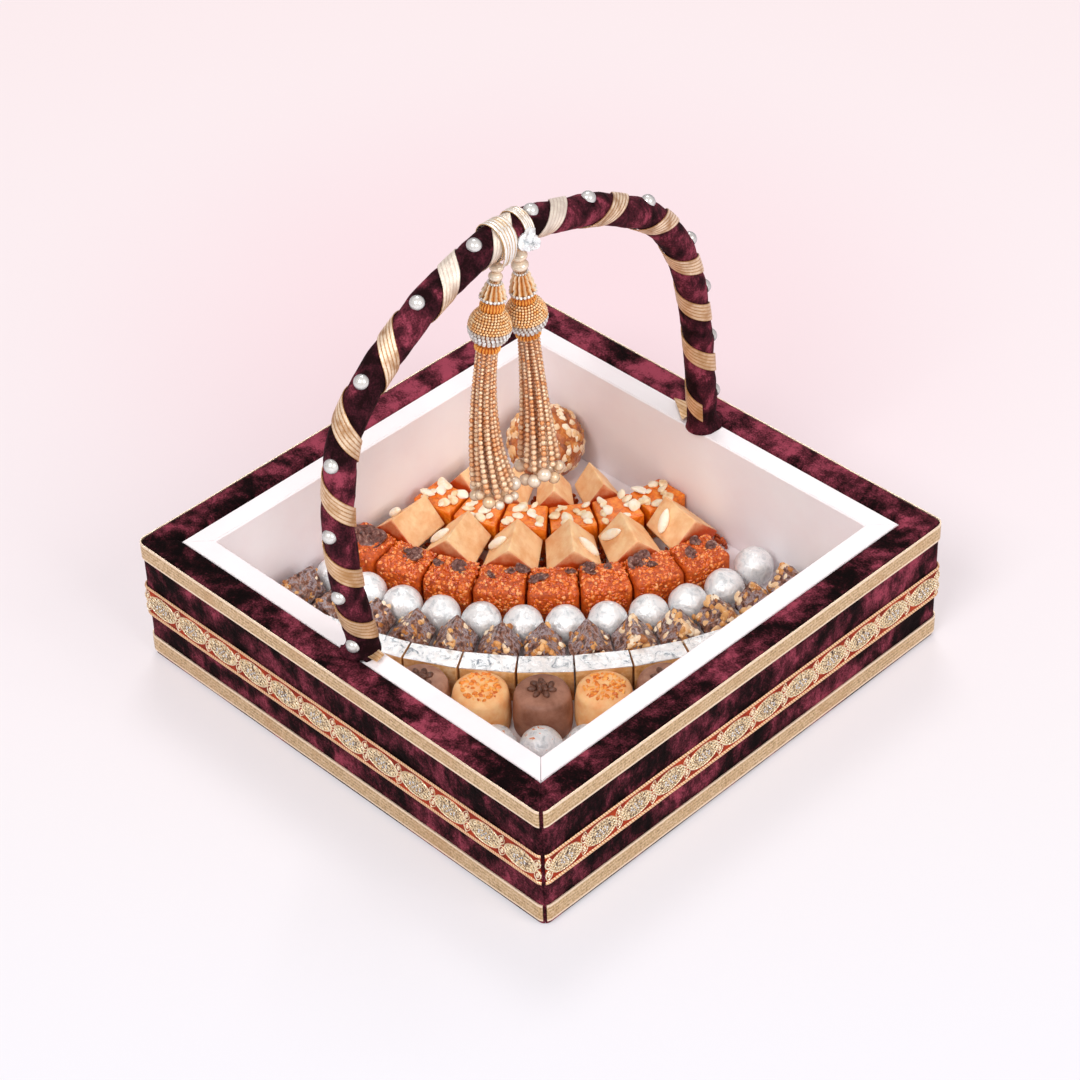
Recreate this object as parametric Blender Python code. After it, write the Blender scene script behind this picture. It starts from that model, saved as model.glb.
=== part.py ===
"""A square velvet gift tray with an arched handle, two beaded tassels and a fan of sweets.

Run with: blender --background --python part.py
Metres, +Z up. The origin is the middle of the tray's underside. The front wall faces -Y, and the
handle's arch stands in the plane x = 0, from the front wall to the back wall.
"""

import math

import bmesh
import bpy
from mathutils import Matrix, Vector

MM = 0.001

# Clear gap left between touching pieces.
GAP = 0.3 * MM

# Tray
TRAY_WIDTH = 305 * MM
TRAY_HEIGHT = 80 * MM
RIM_WIDTH = 16 * MM
CORNER_RADIUS = 4.5 * MM
VELVET = 2 * MM
RIM_ROUND = 1.6 * MM
HEM = 14 * MM
HEM_THICKNESS = 1 * MM
LINING_THICKNESS = 1 * MM
BASE_THICKNESS = 5 * MM

HALF = TRAY_WIDTH / 2
CORNER_CENTRE = HALF - CORNER_RADIUS
VELVET_INNER = HALF - RIM_WIDTH
BOARD_OUTER = HALF - VELVET - GAP
BOARD_INNER = VELVET_INNER + VELVET + GAP
VELVET_BOTTOM = LINING_THICKNESS + GAP
BOARD_BOTTOM = VELVET_BOTTOM + HEM_THICKNESS + GAP
BASE_TOP = BOARD_BOTTOM + BASE_THICKNESS

# Foam card lining inside the tray
LINER_INNER = 123 * MM
LINER_OUTER = VELVET_INNER - GAP
LINER_TOP = TRAY_HEIGHT - 2 * MM
LINER_BOTTOM = BASE_TOP + GAP
FLOOR_TOP = 10.5 * MM
LINER_EDGE = 0.8 * MM

# Ribbons and lace around the walls: low edge, high edge and thickness
TOP_RIBBON = (68.5 * MM, 79.0 * MM, 0.7 * MM)
LACE_BORDER = (29.6 * MM, 49.3 * MM, 1.1 * MM)
BOTTOM_RIBBON = (3.5 * MM, 14.5 * MM, 0.7 * MM)
TRIM_INNER = HALF + GAP
TRIM_END_ANGLE = math.radians(10)

# Handle: points of the arch's centre line (y, z), foot to foot
ARCH_POINTS = [
    (-128.4 * MM, 78.3 * MM), (-135.5 * MM, 125 * MM), (-136.5 * MM, 180 * MM),
    (-126 * MM, 221 * MM), (-96 * MM, 250 * MM), (-55 * MM, 270.5 * MM),
    (-15 * MM, 278.5 * MM), (25 * MM, 269.5 * MM), (65 * MM, 252.5 * MM),
    (97 * MM, 227 * MM), (114 * MM, 195 * MM), (122 * MM, 160 * MM),
    (126.5 * MM, 120 * MM), (128.4 * MM, 78.3 * MM),
]
CORE_RADIUS = 3 * MM
SLEEVE_BORE = 3.5 * MM
SLEEVE_RADIUS = 7.8 * MM
CORE_END = 40 * MM
SLOT_HALF_WIDTH = CORE_RADIUS + 2 * GAP
SLEEVE_SIDES = 10
CORE_SIDES = 6
RING_TURN = math.radians(6)
RING_STEP = 26 * MM

# Ribbon wound round the handle: where it crosses the side turned to the viewer, along the arch
CROSSINGS = [
    23.6 * MM, 62 * MM, 103 * MM, 142 * MM, 184 * MM, 231 * MM, 266 * MM,
    303 * MM, 347 * MM, 388 * MM, 430 * MM, 465 * MM, 500 * MM, 539 * MM,
]
NEAR_CROSSING_ANGLE = math.radians(46)
FAR_CROSSING_ANGLE = math.radians(134)
FAR_LEG_START = 330 * MM
FAR_LEG_FULL = 420 * MM
WINDING_WIDTH = 12 * MM
WINDING_INNER = 8.4 * MM
WINDING_OUTER = 9.0 * MM
WINDING_POINTS = 12
WINDING_LEAD_IN = 0.25

# Half-round pearls along the handle's outer side
PEARL_RADIUS = 4 * MM
PEARL_HEIGHT = 3.6 * MM
PEARL_SEAT = SLEEVE_RADIUS + GAP
PEARL_ANGLE = math.radians(14)
FIRST_PEARL = 9.4 * MM

# Tassels: loop round the handle, then the pieces down the tassel's leaning axis from its hinge
LOOP_SNUG = 9.9 * MM
LOOP_DROP = 12 * MM
LOOP_WIRE = 0.6 * MM
EYELET_RADIUS = 1.5 * MM
EYELET_WIRE = 0.45 * MM
HANDLE_TOP_Z = 278.2 * MM
HINGE_Z = HANDLE_TOP_Z - LOOP_DROP

# Sweets: they stand in arcs about a point by the tray's back left corner
FAN_CENTRE = Vector((-LINER_INNER + 5 * MM, LINER_INNER + 4 * MM, 0))
SWEETS_BASE = FLOOR_TOP + GAP
FAN_MIDDLE = 46.5  # degrees from +X towards -Y
NECK_HEIGHT = 1 * MM
END_SLOPE = 0.5 * MM
DIAMOND_EDGE = 0.1
DIAMOND_NECK = 0.06
BLOCK_EDGE = 0.8 * MM
BLOCK_JOINT = 0.7 * MM


def make_material(name, colour, roughness, metallic=0.0):
    """A plain Principled material."""
    material = bpy.data.materials.new(name)
    material.use_nodes = True
    shader = material.node_tree.nodes["Principled BSDF"]
    shader.inputs["Base Color"].default_value = (*colour, 1.0)
    shader.inputs["Roughness"].default_value = roughness
    shader.inputs["Metallic"].default_value = metallic
    return material


def clear_scene():
    """Remove the objects of the start-up scene."""
    for obj in list(bpy.data.objects):
        bpy.data.objects.remove(obj, do_unlink=True)


def place(name, bm, material, smooth_angle=35):
    """Turn a bmesh into a named object with faces pointing outwards."""
    bmesh.ops.recalc_face_normals(bm, faces=bm.faces)
    mesh = bpy.data.meshes.new(name)
    bm.to_mesh(mesh)
    bm.free()
    mesh.materials.append(material)
    mesh.shade_smooth()
    mesh.set_sharp_from_angle(angle=math.radians(smooth_angle))
    obj = bpy.data.objects.new(name, mesh)
    bpy.context.scene.collection.objects.link(obj)
    return obj


def loft(rings, closed=False):
    """Join rings of equally many points, and close both ends unless the rings form a loop."""
    bm = bmesh.new()
    rows = [[bm.verts.new(point) for point in ring] for ring in rings]
    count = len(rows[0])
    following = rows[1:] + rows[:1] if closed else rows[1:]
    for first, second in zip(rows, following):
        for index in range(count):
            after = (index + 1) % count
            bm.faces.new((first[index], first[after], second[after], second[index]))
    if not closed:
        bm.faces.new(rows[0])
        bm.faces.new(rows[-1])
    return bm


def circle_ring(centre, radius, across, along, sides):
    """Points of a circle in the plane of two unit vectors."""
    points = []
    for side in range(sides):
        angle = 2 * math.pi * side / sides
        points.append(centre + radius * (math.cos(angle) * across + math.sin(angle) * along))
    return points


# Tray walls

def wall_stations():
    """Ends of a wall with mitred, rounded corners: side of the middle and corner angle."""
    angles = [math.radians(45), math.radians(22.5), 0.0]
    return [(-1, angle) for angle in angles] + [(1, angle) for angle in reversed(angles)]


def wall_point(side, angle, distance, height):
    """A point of the front wall at a distance from the tray's middle."""
    mitre = GAP / math.sqrt(2)
    radius = distance - CORNER_CENTRE
    if radius > 0:
        x = CORNER_CENTRE + radius * math.sin(angle)
        y = CORNER_CENTRE + radius * math.cos(angle)
    else:
        x = distance - CORNER_RADIUS * (1 - angle / math.radians(45))
        y = distance
    return Vector((side * (x - mitre), -y, height))


def add_wall(name, section, quarter_turns, material):
    """Sweep a section (distance, height) along one wall, and turn the wall to its side."""
    rings = [[wall_point(side, angle, d, z) for d, z in section] for side, angle in wall_stations()]
    bm = loft(rings)
    turn = Matrix.Rotation(quarter_turns * math.pi / 2, 4, "Z")
    bmesh.ops.transform(bm, matrix=turn, verts=bm.verts)
    return place(name, bm, material)


def board_section():
    """Section of a wall's board."""
    top = TRAY_HEIGHT - VELVET - GAP
    return [
        (BOARD_OUTER, BOARD_BOTTOM), (BOARD_OUTER, top),
        (BOARD_INNER, top), (BOARD_INNER, BOARD_BOTTOM),
    ]


def velvet_section():
    """Section of the velvet that wraps a board from under it to the tray's inner floor."""
    low = TRAY_HEIGHT - RIM_ROUND
    step = RIM_ROUND * 0.3
    inner_bottom = LINER_BOTTOM
    return [
        (HALF, VELVET_BOTTOM),
        (HALF, low), (HALF - step, TRAY_HEIGHT - step), (HALF - RIM_ROUND, TRAY_HEIGHT),
        (VELVET_INNER + RIM_ROUND, TRAY_HEIGHT), (VELVET_INNER + step, TRAY_HEIGHT - step),
        (VELVET_INNER, low), (VELVET_INNER, inner_bottom),
        (VELVET_INNER + VELVET, inner_bottom), (VELVET_INNER + VELVET, TRAY_HEIGHT - VELVET),
        (HALF - VELVET, TRAY_HEIGHT - VELVET), (HALF - VELVET, VELVET_BOTTOM + HEM_THICKNESS),
        (HALF - HEM, VELVET_BOTTOM + HEM_THICKNESS), (HALF - HEM, VELVET_BOTTOM),
    ]


def liner_section():
    """Section of a foam card wall of the lining."""
    return [
        (LINER_OUTER, LINER_BOTTOM), (LINER_OUTER, LINER_TOP - LINER_EDGE),
        (LINER_OUTER - LINER_EDGE, LINER_TOP), (LINER_INNER + LINER_EDGE, LINER_TOP),
        (LINER_INNER, LINER_TOP - LINER_EDGE), (LINER_INNER, LINER_BOTTOM),
    ]


def add_plate(name, half_width, low, high, material, corner=0.0):
    """A square plate with cut corners."""
    outline = []
    for quarter in range(4):
        turn = Matrix.Rotation(quarter * math.pi / 2, 3, "Z")
        outline.append(turn @ Vector((half_width, half_width - corner, 0)))
        if corner > 0:
            outline.append(turn @ Vector((half_width - corner, half_width, 0)))
    up = Vector((0, 0, 1))
    bm = loft([[point + low * up for point in outline], [point + high * up for point in outline]])
    return place(name, bm, material)


def add_trim(name, low, high, thickness, material):
    """A strip round all four walls, whose two ends meet at the front corner."""
    corners = [(1, -1), (1, 1), (-1, 1), (-1, -1), (1, -1)]
    rings = []
    for index, (sign_x, sign_y) in enumerate(corners):
        start = math.radians(-90 + 90 * index)
        angles = [start + math.radians(22.5 * step) for step in range(5)]
        if index == 0:
            angles = [start + math.radians(45) + TRIM_END_ANGLE] + angles[3:]
        if index == len(corners) - 1:
            angles = angles[:2] + [start + math.radians(45) - TRIM_END_ANGLE]
        centre = Vector((sign_x * CORNER_CENTRE, sign_y * CORNER_CENTRE, 0))
        for angle in angles:
            outward = Vector((math.cos(angle), math.sin(angle), 0))
            near = centre + (TRIM_INNER - CORNER_CENTRE) * outward
            far = near + thickness * outward
            rings.append([
                near + Vector((0, 0, low)), far + Vector((0, 0, low)),
                far + Vector((0, 0, high)), near + Vector((0, 0, high)),
            ])
    return place(name, loft(rings), material)


def cut_rod_slot(wall, side, material):
    """Cut the slot for the handle's rod into the outer side of a lining wall."""
    foot = abs(ARCH_POINTS[0][0])
    deep = foot - CORE_RADIUS - GAP
    low, high = CORE_END - GAP, TRAY_HEIGHT
    bm = bmesh.new()
    bmesh.ops.create_cube(bm, size=1)
    size = Vector((2 * SLOT_HALF_WIDTH, LINER_OUTER + 1 * MM - deep, high - low))
    middle = Vector((0, side * (LINER_OUTER + 1 * MM + deep) / 2, (high + low) / 2))
    bmesh.ops.scale(bm, vec=size, verts=bm.verts)
    bmesh.ops.translate(bm, vec=middle, verts=bm.verts)
    cutter = place(wall.name + "_slot_cutter", bm, material)
    cutter.hide_render = True
    cutter.display_type = "WIRE"
    cut = wall.modifiers.new("rod_slot", "BOOLEAN")
    cut.operation = "DIFFERENCE"
    cut.object = cutter


def build_tray(velvet, board, foam, lining, gold, lace):
    """Base, walls, velvet, lining and the trims round the walls."""
    add_plate("base_lining", HALF - 1.5 * MM, 0, LINING_THICKNESS, lining, corner=3 * MM)
    add_plate("base_board", BOARD_INNER - GAP, BOARD_BOTTOM, BASE_TOP, board)
    add_plate("liner_floor", LINER_INNER - GAP, LINER_BOTTOM, FLOOR_TOP, foam)
    for turns, side in enumerate(("front", "right", "back", "left")):
        add_wall(side + "_board", board_section(), turns, board)
        add_wall(side + "_velvet", velvet_section(), turns, velvet)
        wall = add_wall("liner_" + side, liner_section(), turns, foam)
        if side == "front":
            cut_rod_slot(wall, -1, foam)
        if side == "back":
            cut_rod_slot(wall, 1, foam)
    add_trim("top_ribbon", *TOP_RIBBON, gold)
    add_trim("lace_border", *LACE_BORDER, lace)
    add_trim("bottom_ribbon", *BOTTOM_RIBBON, gold)


# Handle

class Arch:
    """The handle's centre line: a smooth curve through its points, measured by its length."""

    STEPS = 40

    def __init__(self, points):
        knots = [Vector((0, y, z)) for y, z in points]
        spans = [(b - a).length for a, b in zip(knots, knots[1:])]
        slopes = [Vector((0, 0, 1))]
        for index in range(1, len(knots) - 1):
            before, after = spans[index - 1], spans[index]
            into = (knots[index] - knots[index - 1]) / before
            out = (knots[index + 1] - knots[index]) / after
            slopes.append((into * after + out * before) / (before + after))
        slopes.append(Vector((0, 0, -1)))
        self.points = []
        for index, span in enumerate(spans):
            for step in range(self.STEPS):
                share = step / self.STEPS
                self.points.append(self.between(knots, slopes, span, index, share))
        self.points.append(knots[-1])
        self.marks = [0.0]
        for a, b in zip(self.points, self.points[1:]):
            self.marks.append(self.marks[-1] + (b - a).length)
        self.length = self.marks[-1]

    @staticmethod
    def between(knots, slopes, span, index, share):
        """A point of the cubic between two knots."""
        square, cube = share ** 2, share ** 3
        return (
            (2 * cube - 3 * square + 1) * knots[index]
            + (cube - 2 * square + share) * span * slopes[index]
            + (3 * square - 2 * cube) * knots[index + 1]
            + (cube - square) * span * slopes[index + 1]
        )

    def position(self, distance):
        """The point at a distance along the arch."""
        distance = min(max(distance, 0.0), self.length)
        for index in range(1, len(self.marks)):
            if self.marks[index] >= distance:
                low, high = self.marks[index - 1], self.marks[index]
                share = (distance - low) / (high - low)
                return self.points[index - 1].lerp(self.points[index], share)
        return self.points[-1].copy()

    def outward(self, distance):
        """The unit vector from the centre line to the outer side of the arch."""
        reach = 2 * MM
        along = self.position(distance + reach) - self.position(distance - reach)
        if distance < reach:
            along = Vector((0, 0, 1))
        if distance > self.length - reach:
            along = Vector((0, 0, -1))
        along.normalize()
        return Vector((0, -along.z, along.y))

    def ring_distances(self):
        """Distances for a tube's rings: close together where the arch bends."""
        distances = [0.0]
        step = 2 * MM
        distance = step
        while distance < self.length - 3 * step:
            turn = self.outward(distance).angle(self.outward(distances[-1]))
            if turn > RING_TURN or distance - distances[-1] > RING_STEP:
                distances.append(distance)
            distance += step
        return distances + [self.length]

    def surface(self, distance, angle, radius):
        """A point at a radius round the arch, at an angle from its outer side towards +X."""
        outward = self.outward(distance)
        direction = math.cos(angle) * outward + math.sin(angle) * Vector((1, 0, 0))
        return self.position(distance) + radius * direction


def winding_angle(distance):
    """Angle of the wound ribbon at a distance along the arch, falling by a turn a crossing."""
    far = (distance - FAR_LEG_START) / (FAR_LEG_FULL - FAR_LEG_START)
    far = min(max(far, 0.0), 1.0)
    facing = NEAR_CROSSING_ANGLE + far * (FAR_CROSSING_ANGLE - NEAR_CROSSING_ANGLE)
    index = 0
    while index < len(CROSSINGS) - 2 and distance > CROSSINGS[index + 1]:
        index += 1
    turns = index + (distance - CROSSINGS[index]) / (CROSSINGS[index + 1] - CROSSINGS[index])
    return facing - 2 * math.pi * turns


def between_turns(crossing):
    """Distance along the arch of the bare outer side halfway from one turn to the next."""
    wanted = PEARL_ANGLE - math.pi - 2 * math.pi * crossing
    low, high = CROSSINGS[crossing], CROSSINGS[crossing + 1] + WINDING_WIDTH
    for _ in range(30):
        middle = (low + high) / 2
        if winding_angle(middle) > wanted:
            low = middle
        else:
            high = middle
    return (low + high) / 2


def winding_stations():
    """Distances along the arch of the wound ribbon's cross-sections."""
    stations = []
    first = CROSSINGS[0] - WINDING_LEAD_IN * (CROSSINGS[1] - CROSSINGS[0])
    for step in range(int(WINDING_LEAD_IN * WINDING_POINTS)):
        share = step / (WINDING_LEAD_IN * WINDING_POINTS)
        stations.append(first + share * (CROSSINGS[0] - first))
    for low, high in zip(CROSSINGS, CROSSINGS[1:]):
        for step in range(WINDING_POINTS):
            stations.append(low + (high - low) * step / WINDING_POINTS)
    stations.append(CROSSINGS[-1])
    return stations


def least_winding_gap(arch):
    """Least clear distance between one turn of the wound ribbon and the next."""
    centres = [(s, arch.surface(s, winding_angle(s), WINDING_OUTER)) for s in winding_stations()]
    least = arch.length
    for index, (distance, point) in enumerate(centres):
        for other_distance, other in centres[index + WINDING_POINTS // 2:]:
            if other_distance - distance < 2 * WINDING_WIDTH + arch.length / 10:
                least = min(least, (other - point).length)
    return least - WINDING_WIDTH


def build_handle(arch, velvet, cane, gold, pearl):
    """Rod, padded velvet sleeve, wound ribbon and pearls."""
    across = Vector((1, 0, 0))
    stations = arch.ring_distances()

    rings = [circle_ring(Vector((0, ARCH_POINTS[0][0], CORE_END)), CORE_RADIUS,
                         Vector((0, -1, 0)), across, CORE_SIDES)]
    for distance in stations:
        rings.append(circle_ring(arch.position(distance), CORE_RADIUS,
                                 arch.outward(distance), across, CORE_SIDES))
    rings.append(circle_ring(Vector((0, ARCH_POINTS[-1][0], CORE_END)), CORE_RADIUS,
                             Vector((0, 1, 0)), across, CORE_SIDES))
    place("handle_core", loft(rings), cane)

    outer, inner = [], []
    for distance in stations:
        centre, outward = arch.position(distance), arch.outward(distance)
        outer.append(circle_ring(centre, SLEEVE_RADIUS, outward, across, SLEEVE_SIDES))
        inner.append(circle_ring(centre, SLEEVE_BORE, outward, across, SLEEVE_SIDES))
    place("handle_sleeve", loft(outer + inner[::-1], closed=True), velvet)

    rings = []
    for distance in winding_stations():
        angle = winding_angle(distance)
        edges = [distance - WINDING_WIDTH / 2, distance, distance + WINDING_WIDTH / 2]
        low = [arch.surface(edge, angle, WINDING_INNER) for edge in edges]
        high = [arch.surface(edge, angle, WINDING_OUTER) for edge in reversed(edges)]
        rings.append(low + high)
    place("handle_ribbon", loft(rings), gold)
    print("least gap between turns of the wound ribbon, mm:", round(least_winding_gap(arch) / MM, 1))

    seats = [FIRST_PEARL] + [between_turns(crossing) for crossing in range(len(CROSSINGS) - 1)]
    for number, distance in enumerate(seats, start=1):
        add_pearl(f"pearl_{number:02d}", arch, distance, pearl)


def add_pearl(name, arch, distance, material):
    """A half-round pearl with its flat back on the sleeve."""
    outward = arch.surface(distance, PEARL_ANGLE, 1.0) - arch.position(distance)
    seat = arch.position(distance) + PEARL_SEAT * outward
    first = outward.orthogonal().normalized()
    second = outward.cross(first)
    rings = []
    for degrees in (0, 35, 70):
        angle = math.radians(degrees)
        centre = seat + PEARL_HEIGHT * math.sin(angle) * outward
        rings.append(circle_ring(centre, PEARL_RADIUS * math.cos(angle), first, second, 8))
    place(name, loft(rings), material, smooth_angle=60)


# Tassels

class Tassel:
    """A tassel that hangs from a loop round the handle, leaning a little to one side."""

    NECK_BEADS = 2
    NECK_THREAD = 0.8 * MM
    DOME_RADIUS = 11.4 * MM
    COLLAR_RADIUS = 6.4 * MM
    STRAND_TOP = 1.1 * MM
    STRAND_LOW = 1.6 * MM
    END_BEAD = 2.9 * MM
    SIDES = 14
    RING_POINTS = 24
    EYELET_POINTS = 12
    STRAND_SIDES = 5

    def __init__(self, name, y, lean, dome_depth, neck_bottom, cap_height, tips, spread):
        self.name = name
        self.hinge = Vector((0, y, HINGE_Z))
        self.axis = Vector((0, math.sin(lean), -math.cos(lean)))
        self.dome_depth = dome_depth
        self.neck_bottom = neck_bottom
        self.cap_height = cap_height
        self.tips = tips
        self.spread = spread

    def point(self, depth):
        """A point on the leaning axis, at a depth below the hinge."""
        return self.hinge + depth * self.axis

    def turned(self, piece, profile, material, sides=None):
        """A solid turned about the leaning axis from points (radius, depth)."""
        across = Vector((1, 0, 0))
        front = self.axis.cross(across)
        rings = [circle_ring(self.point(depth), radius, across, front, sides or self.SIDES)
                 for radius, depth in profile]
        place(f"{self.name}_{piece}", loft(rings), material, smooth_angle=50)

    def add_ring(self, piece, centre, radii, wire, first, material):
        """A closed wire loop in a plane upright along a unit vector, from its bottom round."""
        up = Vector((0, 0, 1))
        normal = first.cross(up)
        rings = []
        for step, radius in enumerate(radii):
            angle = 2 * math.pi * step / len(radii)
            outward = math.sin(angle) * first - math.cos(angle) * up
            rings.append(circle_ring(centre + radius * outward, wire, outward, normal, 5))
        place(f"{self.name}_{piece}", loft(rings, closed=True), material, smooth_angle=60)

    def loop_radii(self):
        """The cord loop lies snug round the handle and is drawn down where the tassel hangs."""
        radii = []
        for step in range(self.RING_POINTS):
            droop = max(0.0, math.cos(2 * math.pi * step / self.RING_POINTS)) ** 14
            radii.append(LOOP_SNUG + (LOOP_DROP - LOOP_SNUG) * droop)
        return radii

    def neck_profile(self):
        """Beads threaded one under the other."""
        top = EYELET_RADIUS + EYELET_WIRE + GAP
        size = (self.neck_bottom - top) / self.NECK_BEADS
        profile = [(self.NECK_THREAD, top)]
        for bead in range(self.NECK_BEADS):
            middle = top + (bead + 0.5) * size
            for degrees in (-60, -30, 0, 30, 60):
                angle = math.radians(degrees)
                profile.append((size / 2 * math.cos(angle), middle + size / 2 * math.sin(angle)))
        profile.append((self.NECK_THREAD, self.neck_bottom))
        return profile

    def build(self, cord, gold, orange, bead):
        """All pieces of the tassel, from the loop down."""
        top = self.hinge + Vector((0, 0, LOOP_DROP))
        self.add_ring("loop", top, self.loop_radii(), LOOP_WIRE, Vector((1, 0, 0)), cord)
        self.add_ring("eyelet", self.hinge, [EYELET_RADIUS] * self.EYELET_POINTS, EYELET_WIRE,
                      Vector((0, 1, 0)), gold)
        self.turned("neck_beads", self.neck_profile(), gold, sides=10)

        cap_top = self.neck_bottom + GAP
        cap_low = cap_top + self.cap_height
        self.turned("cap", [
            (2.0 * MM, cap_top), (3.6 * MM, cap_top + 0.15 * self.cap_height),
            (5.0 * MM, cap_top + 0.6 * self.cap_height), (6.4 * MM, cap_low - 1.2 * MM),
            (6.4 * MM, cap_low),
        ], gold)

        dome_top = cap_low + GAP
        dome_bottom = self.dome_depth + 0.88 * self.DOME_RADIUS
        profile = [(5.6 * MM, dome_top)]
        for degrees in (-35, -15, 0, 15, 35, 50):
            angle = math.radians(degrees)
            profile.append((self.DOME_RADIUS * math.cos(angle),
                            self.dome_depth + self.DOME_RADIUS * math.sin(angle)))
        profile.append((6.2 * MM, dome_bottom))
        self.turned("dome", profile, orange, sides=18)

        collar_top = dome_bottom + GAP
        collar_low = collar_top + 3.4 * MM
        self.turned("collar", [
            (self.COLLAR_RADIUS - 0.6 * MM, collar_top), (self.COLLAR_RADIUS, collar_top + 0.8 * MM),
            (self.COLLAR_RADIUS, collar_low - 0.8 * MM), (self.COLLAR_RADIUS - 0.6 * MM, collar_low),
        ], orange)
        self.build_strands(collar_low + GAP, bead)

    def strand_rings(self, start, end):
        """Rings of one hanging strand, which thickens downwards and ends in a bead."""
        bend = start + self.axis * (start - end).length * 0.35
        rings = []
        x_axis, y_axis = Vector((1, 0, 0)), Vector((0, 1, 0))
        for step in range(4):
            share = step / 3
            centre = (1 - share) ** 2 * start + 2 * share * (1 - share) * bend + share ** 2 * end
            radius = self.STRAND_TOP + share * (self.STRAND_LOW - self.STRAND_TOP)
            rings.append(circle_ring(centre, radius, x_axis, y_axis, self.STRAND_SIDES))
        for degrees in (-45, 0, 45):
            angle = math.radians(degrees)
            centre = end - Vector((0, 0, self.END_BEAD * (0.9 + math.sin(angle))))
            reach = self.END_BEAD * math.cos(angle)
            rings.append(circle_ring(centre, reach, x_axis, y_axis, self.STRAND_SIDES))
        return rings

    def build_strands(self, depth, material):
        """A thin disc with the bead strands hanging from it, joined into one solid."""
        strands = bpy.data.collections.new(self.name + "_strand_set")
        bpy.context.scene.collection.children.link(strands)
        disc_depth = 2 * MM
        middle = self.point(depth + disc_depth / 2)
        across = Vector((1, 0, 0))
        front = across.cross(self.axis)
        count = len(self.tips) - 1
        for number, tip in enumerate(self.tips):
            turn = 2 * math.pi * number / count
            inner = 0.0 if number == count else 1.0
            reach = inner * (self.COLLAR_RADIUS - 2.2 * MM)
            start = middle + reach * (math.cos(turn) * across + math.sin(turn) * front)
            width = Vector((math.cos(turn), math.sin(turn), 0)) * inner
            end = Vector((width.x * self.spread.x, self.spread.z + width.y * self.spread.y, tip))
            strand = place(f"{self.name}_strand_{number}", loft(self.strand_rings(start, end)), material)
            strand.hide_render = True
            strand.display_type = "WIRE"
            bpy.context.scene.collection.objects.unlink(strand)
            strands.objects.link(strand)
        radius = self.COLLAR_RADIUS - 0.6 * MM
        self.turned("strands", [(radius, depth), (radius, depth + disc_depth)], material)
        join = bpy.data.objects[self.name + "_strands"].modifiers.new("strands", "BOOLEAN")
        join.operation = "UNION"
        join.operand_type = "COLLECTION"
        join.collection = strands
        join.solver = "EXACT"


def build_tassels(cord, gold, orange, bead):
    """The two tassels: one leans forwards, the other backwards, off each other's beads."""
    lowest = 119 * MM
    tassel_a = Tassel(
        "tassel_a", y=-22 * MM, lean=math.radians(-11.2), dome_depth=37.6 * MM,
        neck_bottom=12.2 * MM, cap_height=9.6 * MM,
        tips=[lowest + rise * MM for rise in (7, 4, 9, 5, 12, 6, 3, 8, 6, 10)],
        spread=Vector((10.5 * MM, 10.5 * MM, -31.5 * MM)),
    )
    tassel_b = Tassel(
        "tassel_b", y=-8 * MM, lean=math.radians(5.3), dome_depth=43 * MM,
        neck_bottom=14.4 * MM, cap_height=13.5 * MM,
        tips=[lowest + rise * MM for rise in (4, 8, 3, 10, 5, 12, 7, 4, 9, 3)],
        spread=Vector((10.5 * MM, 10.5 * MM, 1.5 * MM)),
    )
    for tassel in (tassel_a, tassel_b):
        tassel.build(cord, gold, orange, bead)


# Sweets

def fan_frame(radius, degrees):
    """Centre, outward and sideways directions of a sweet in the fan."""
    angle = math.radians(degrees)
    outward = Vector((math.cos(angle), -math.sin(angle), 0))
    sideways = Vector((-math.sin(angle), -math.cos(angle), 0))
    return FAN_CENTRE + radius * outward, outward, sideways


def block_section(width, height):
    """Section of a block: points (outward, height)."""
    half = width / 2
    return [(-half, 0), (-half, height - BLOCK_EDGE), (-half + BLOCK_EDGE, height),
            (half - BLOCK_EDGE, height), (half, height - BLOCK_EDGE), (half, 0)]


def add_block_row(name, radius, width, height, angles, flare, material, ridge=False):
    """A row of cut blocks that nearly touch, each as wide as its neighbours allow.

    A flare of 1 gives sides that point to the corner of the fan, and 0 gives parallel sides. With
    a ridge the blocks stand on an edge, and their upper edges point to that corner.
    """
    pitch = math.radians(angles[1] - angles[0])
    room = (radius - width / 2) * math.tan(pitch / 2) - BLOCK_JOINT / 2
    end = room / (1 - flare * width / 2 / radius)
    if ridge:
        edge = DIAMOND_EDGE * end
        neck = (0.5 - DIAMOND_NECK, 0.5 + DIAMOND_NECK)
        stations = [(-end, *neck), (-edge, 0, 1), (edge, 0, 1), (end, *neck)]
    else:
        slope, neck = end - END_SLOPE, NECK_HEIGHT / height
        stations = [(-end, 0, neck), (-slope, 0, 1), (slope, 0, 1), (end, 0, neck)]
    rings = []
    for degrees in angles:
        centre, outward, sideways = fan_frame(radius, degrees)
        for along, low, high in stations:
            rings.append([
                centre + along * (1 + flare * across / radius) * sideways + across * outward
                + Vector((0, 0, SWEETS_BASE + low * height + (high - low) * z))
                for across, z in block_section(width, height)
            ])
    return place(name, loft(rings), material)


def round_stations(radius, ends):
    """Offsets along a round sweet and its half width there."""
    offsets = [radius * share for share in (-ends, -0.7, -0.25, 0.25, 0.7, ends)]
    return [(offset, math.sqrt(radius ** 2 - offset ** 2)) for offset in offsets]


def add_ball_row(name, ball, places, material):
    """A row of balls that touch at their middles, each at its radius and angle."""
    rings = []
    for radius, degrees in places:
        centre, outward, sideways = fan_frame(radius, degrees)
        middle = centre + Vector((0, 0, SWEETS_BASE + 0.96 * ball))
        for offset, reach in round_stations(ball, 0.965):
            ring = circle_ring(middle + offset * sideways, reach, outward, Vector((0, 0, 1)), 8)
            rings.append([Vector((p.x, p.y, max(p.z, SWEETS_BASE))) for p in ring])
    return place(name, loft(rings), material, smooth_angle=60)


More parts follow.
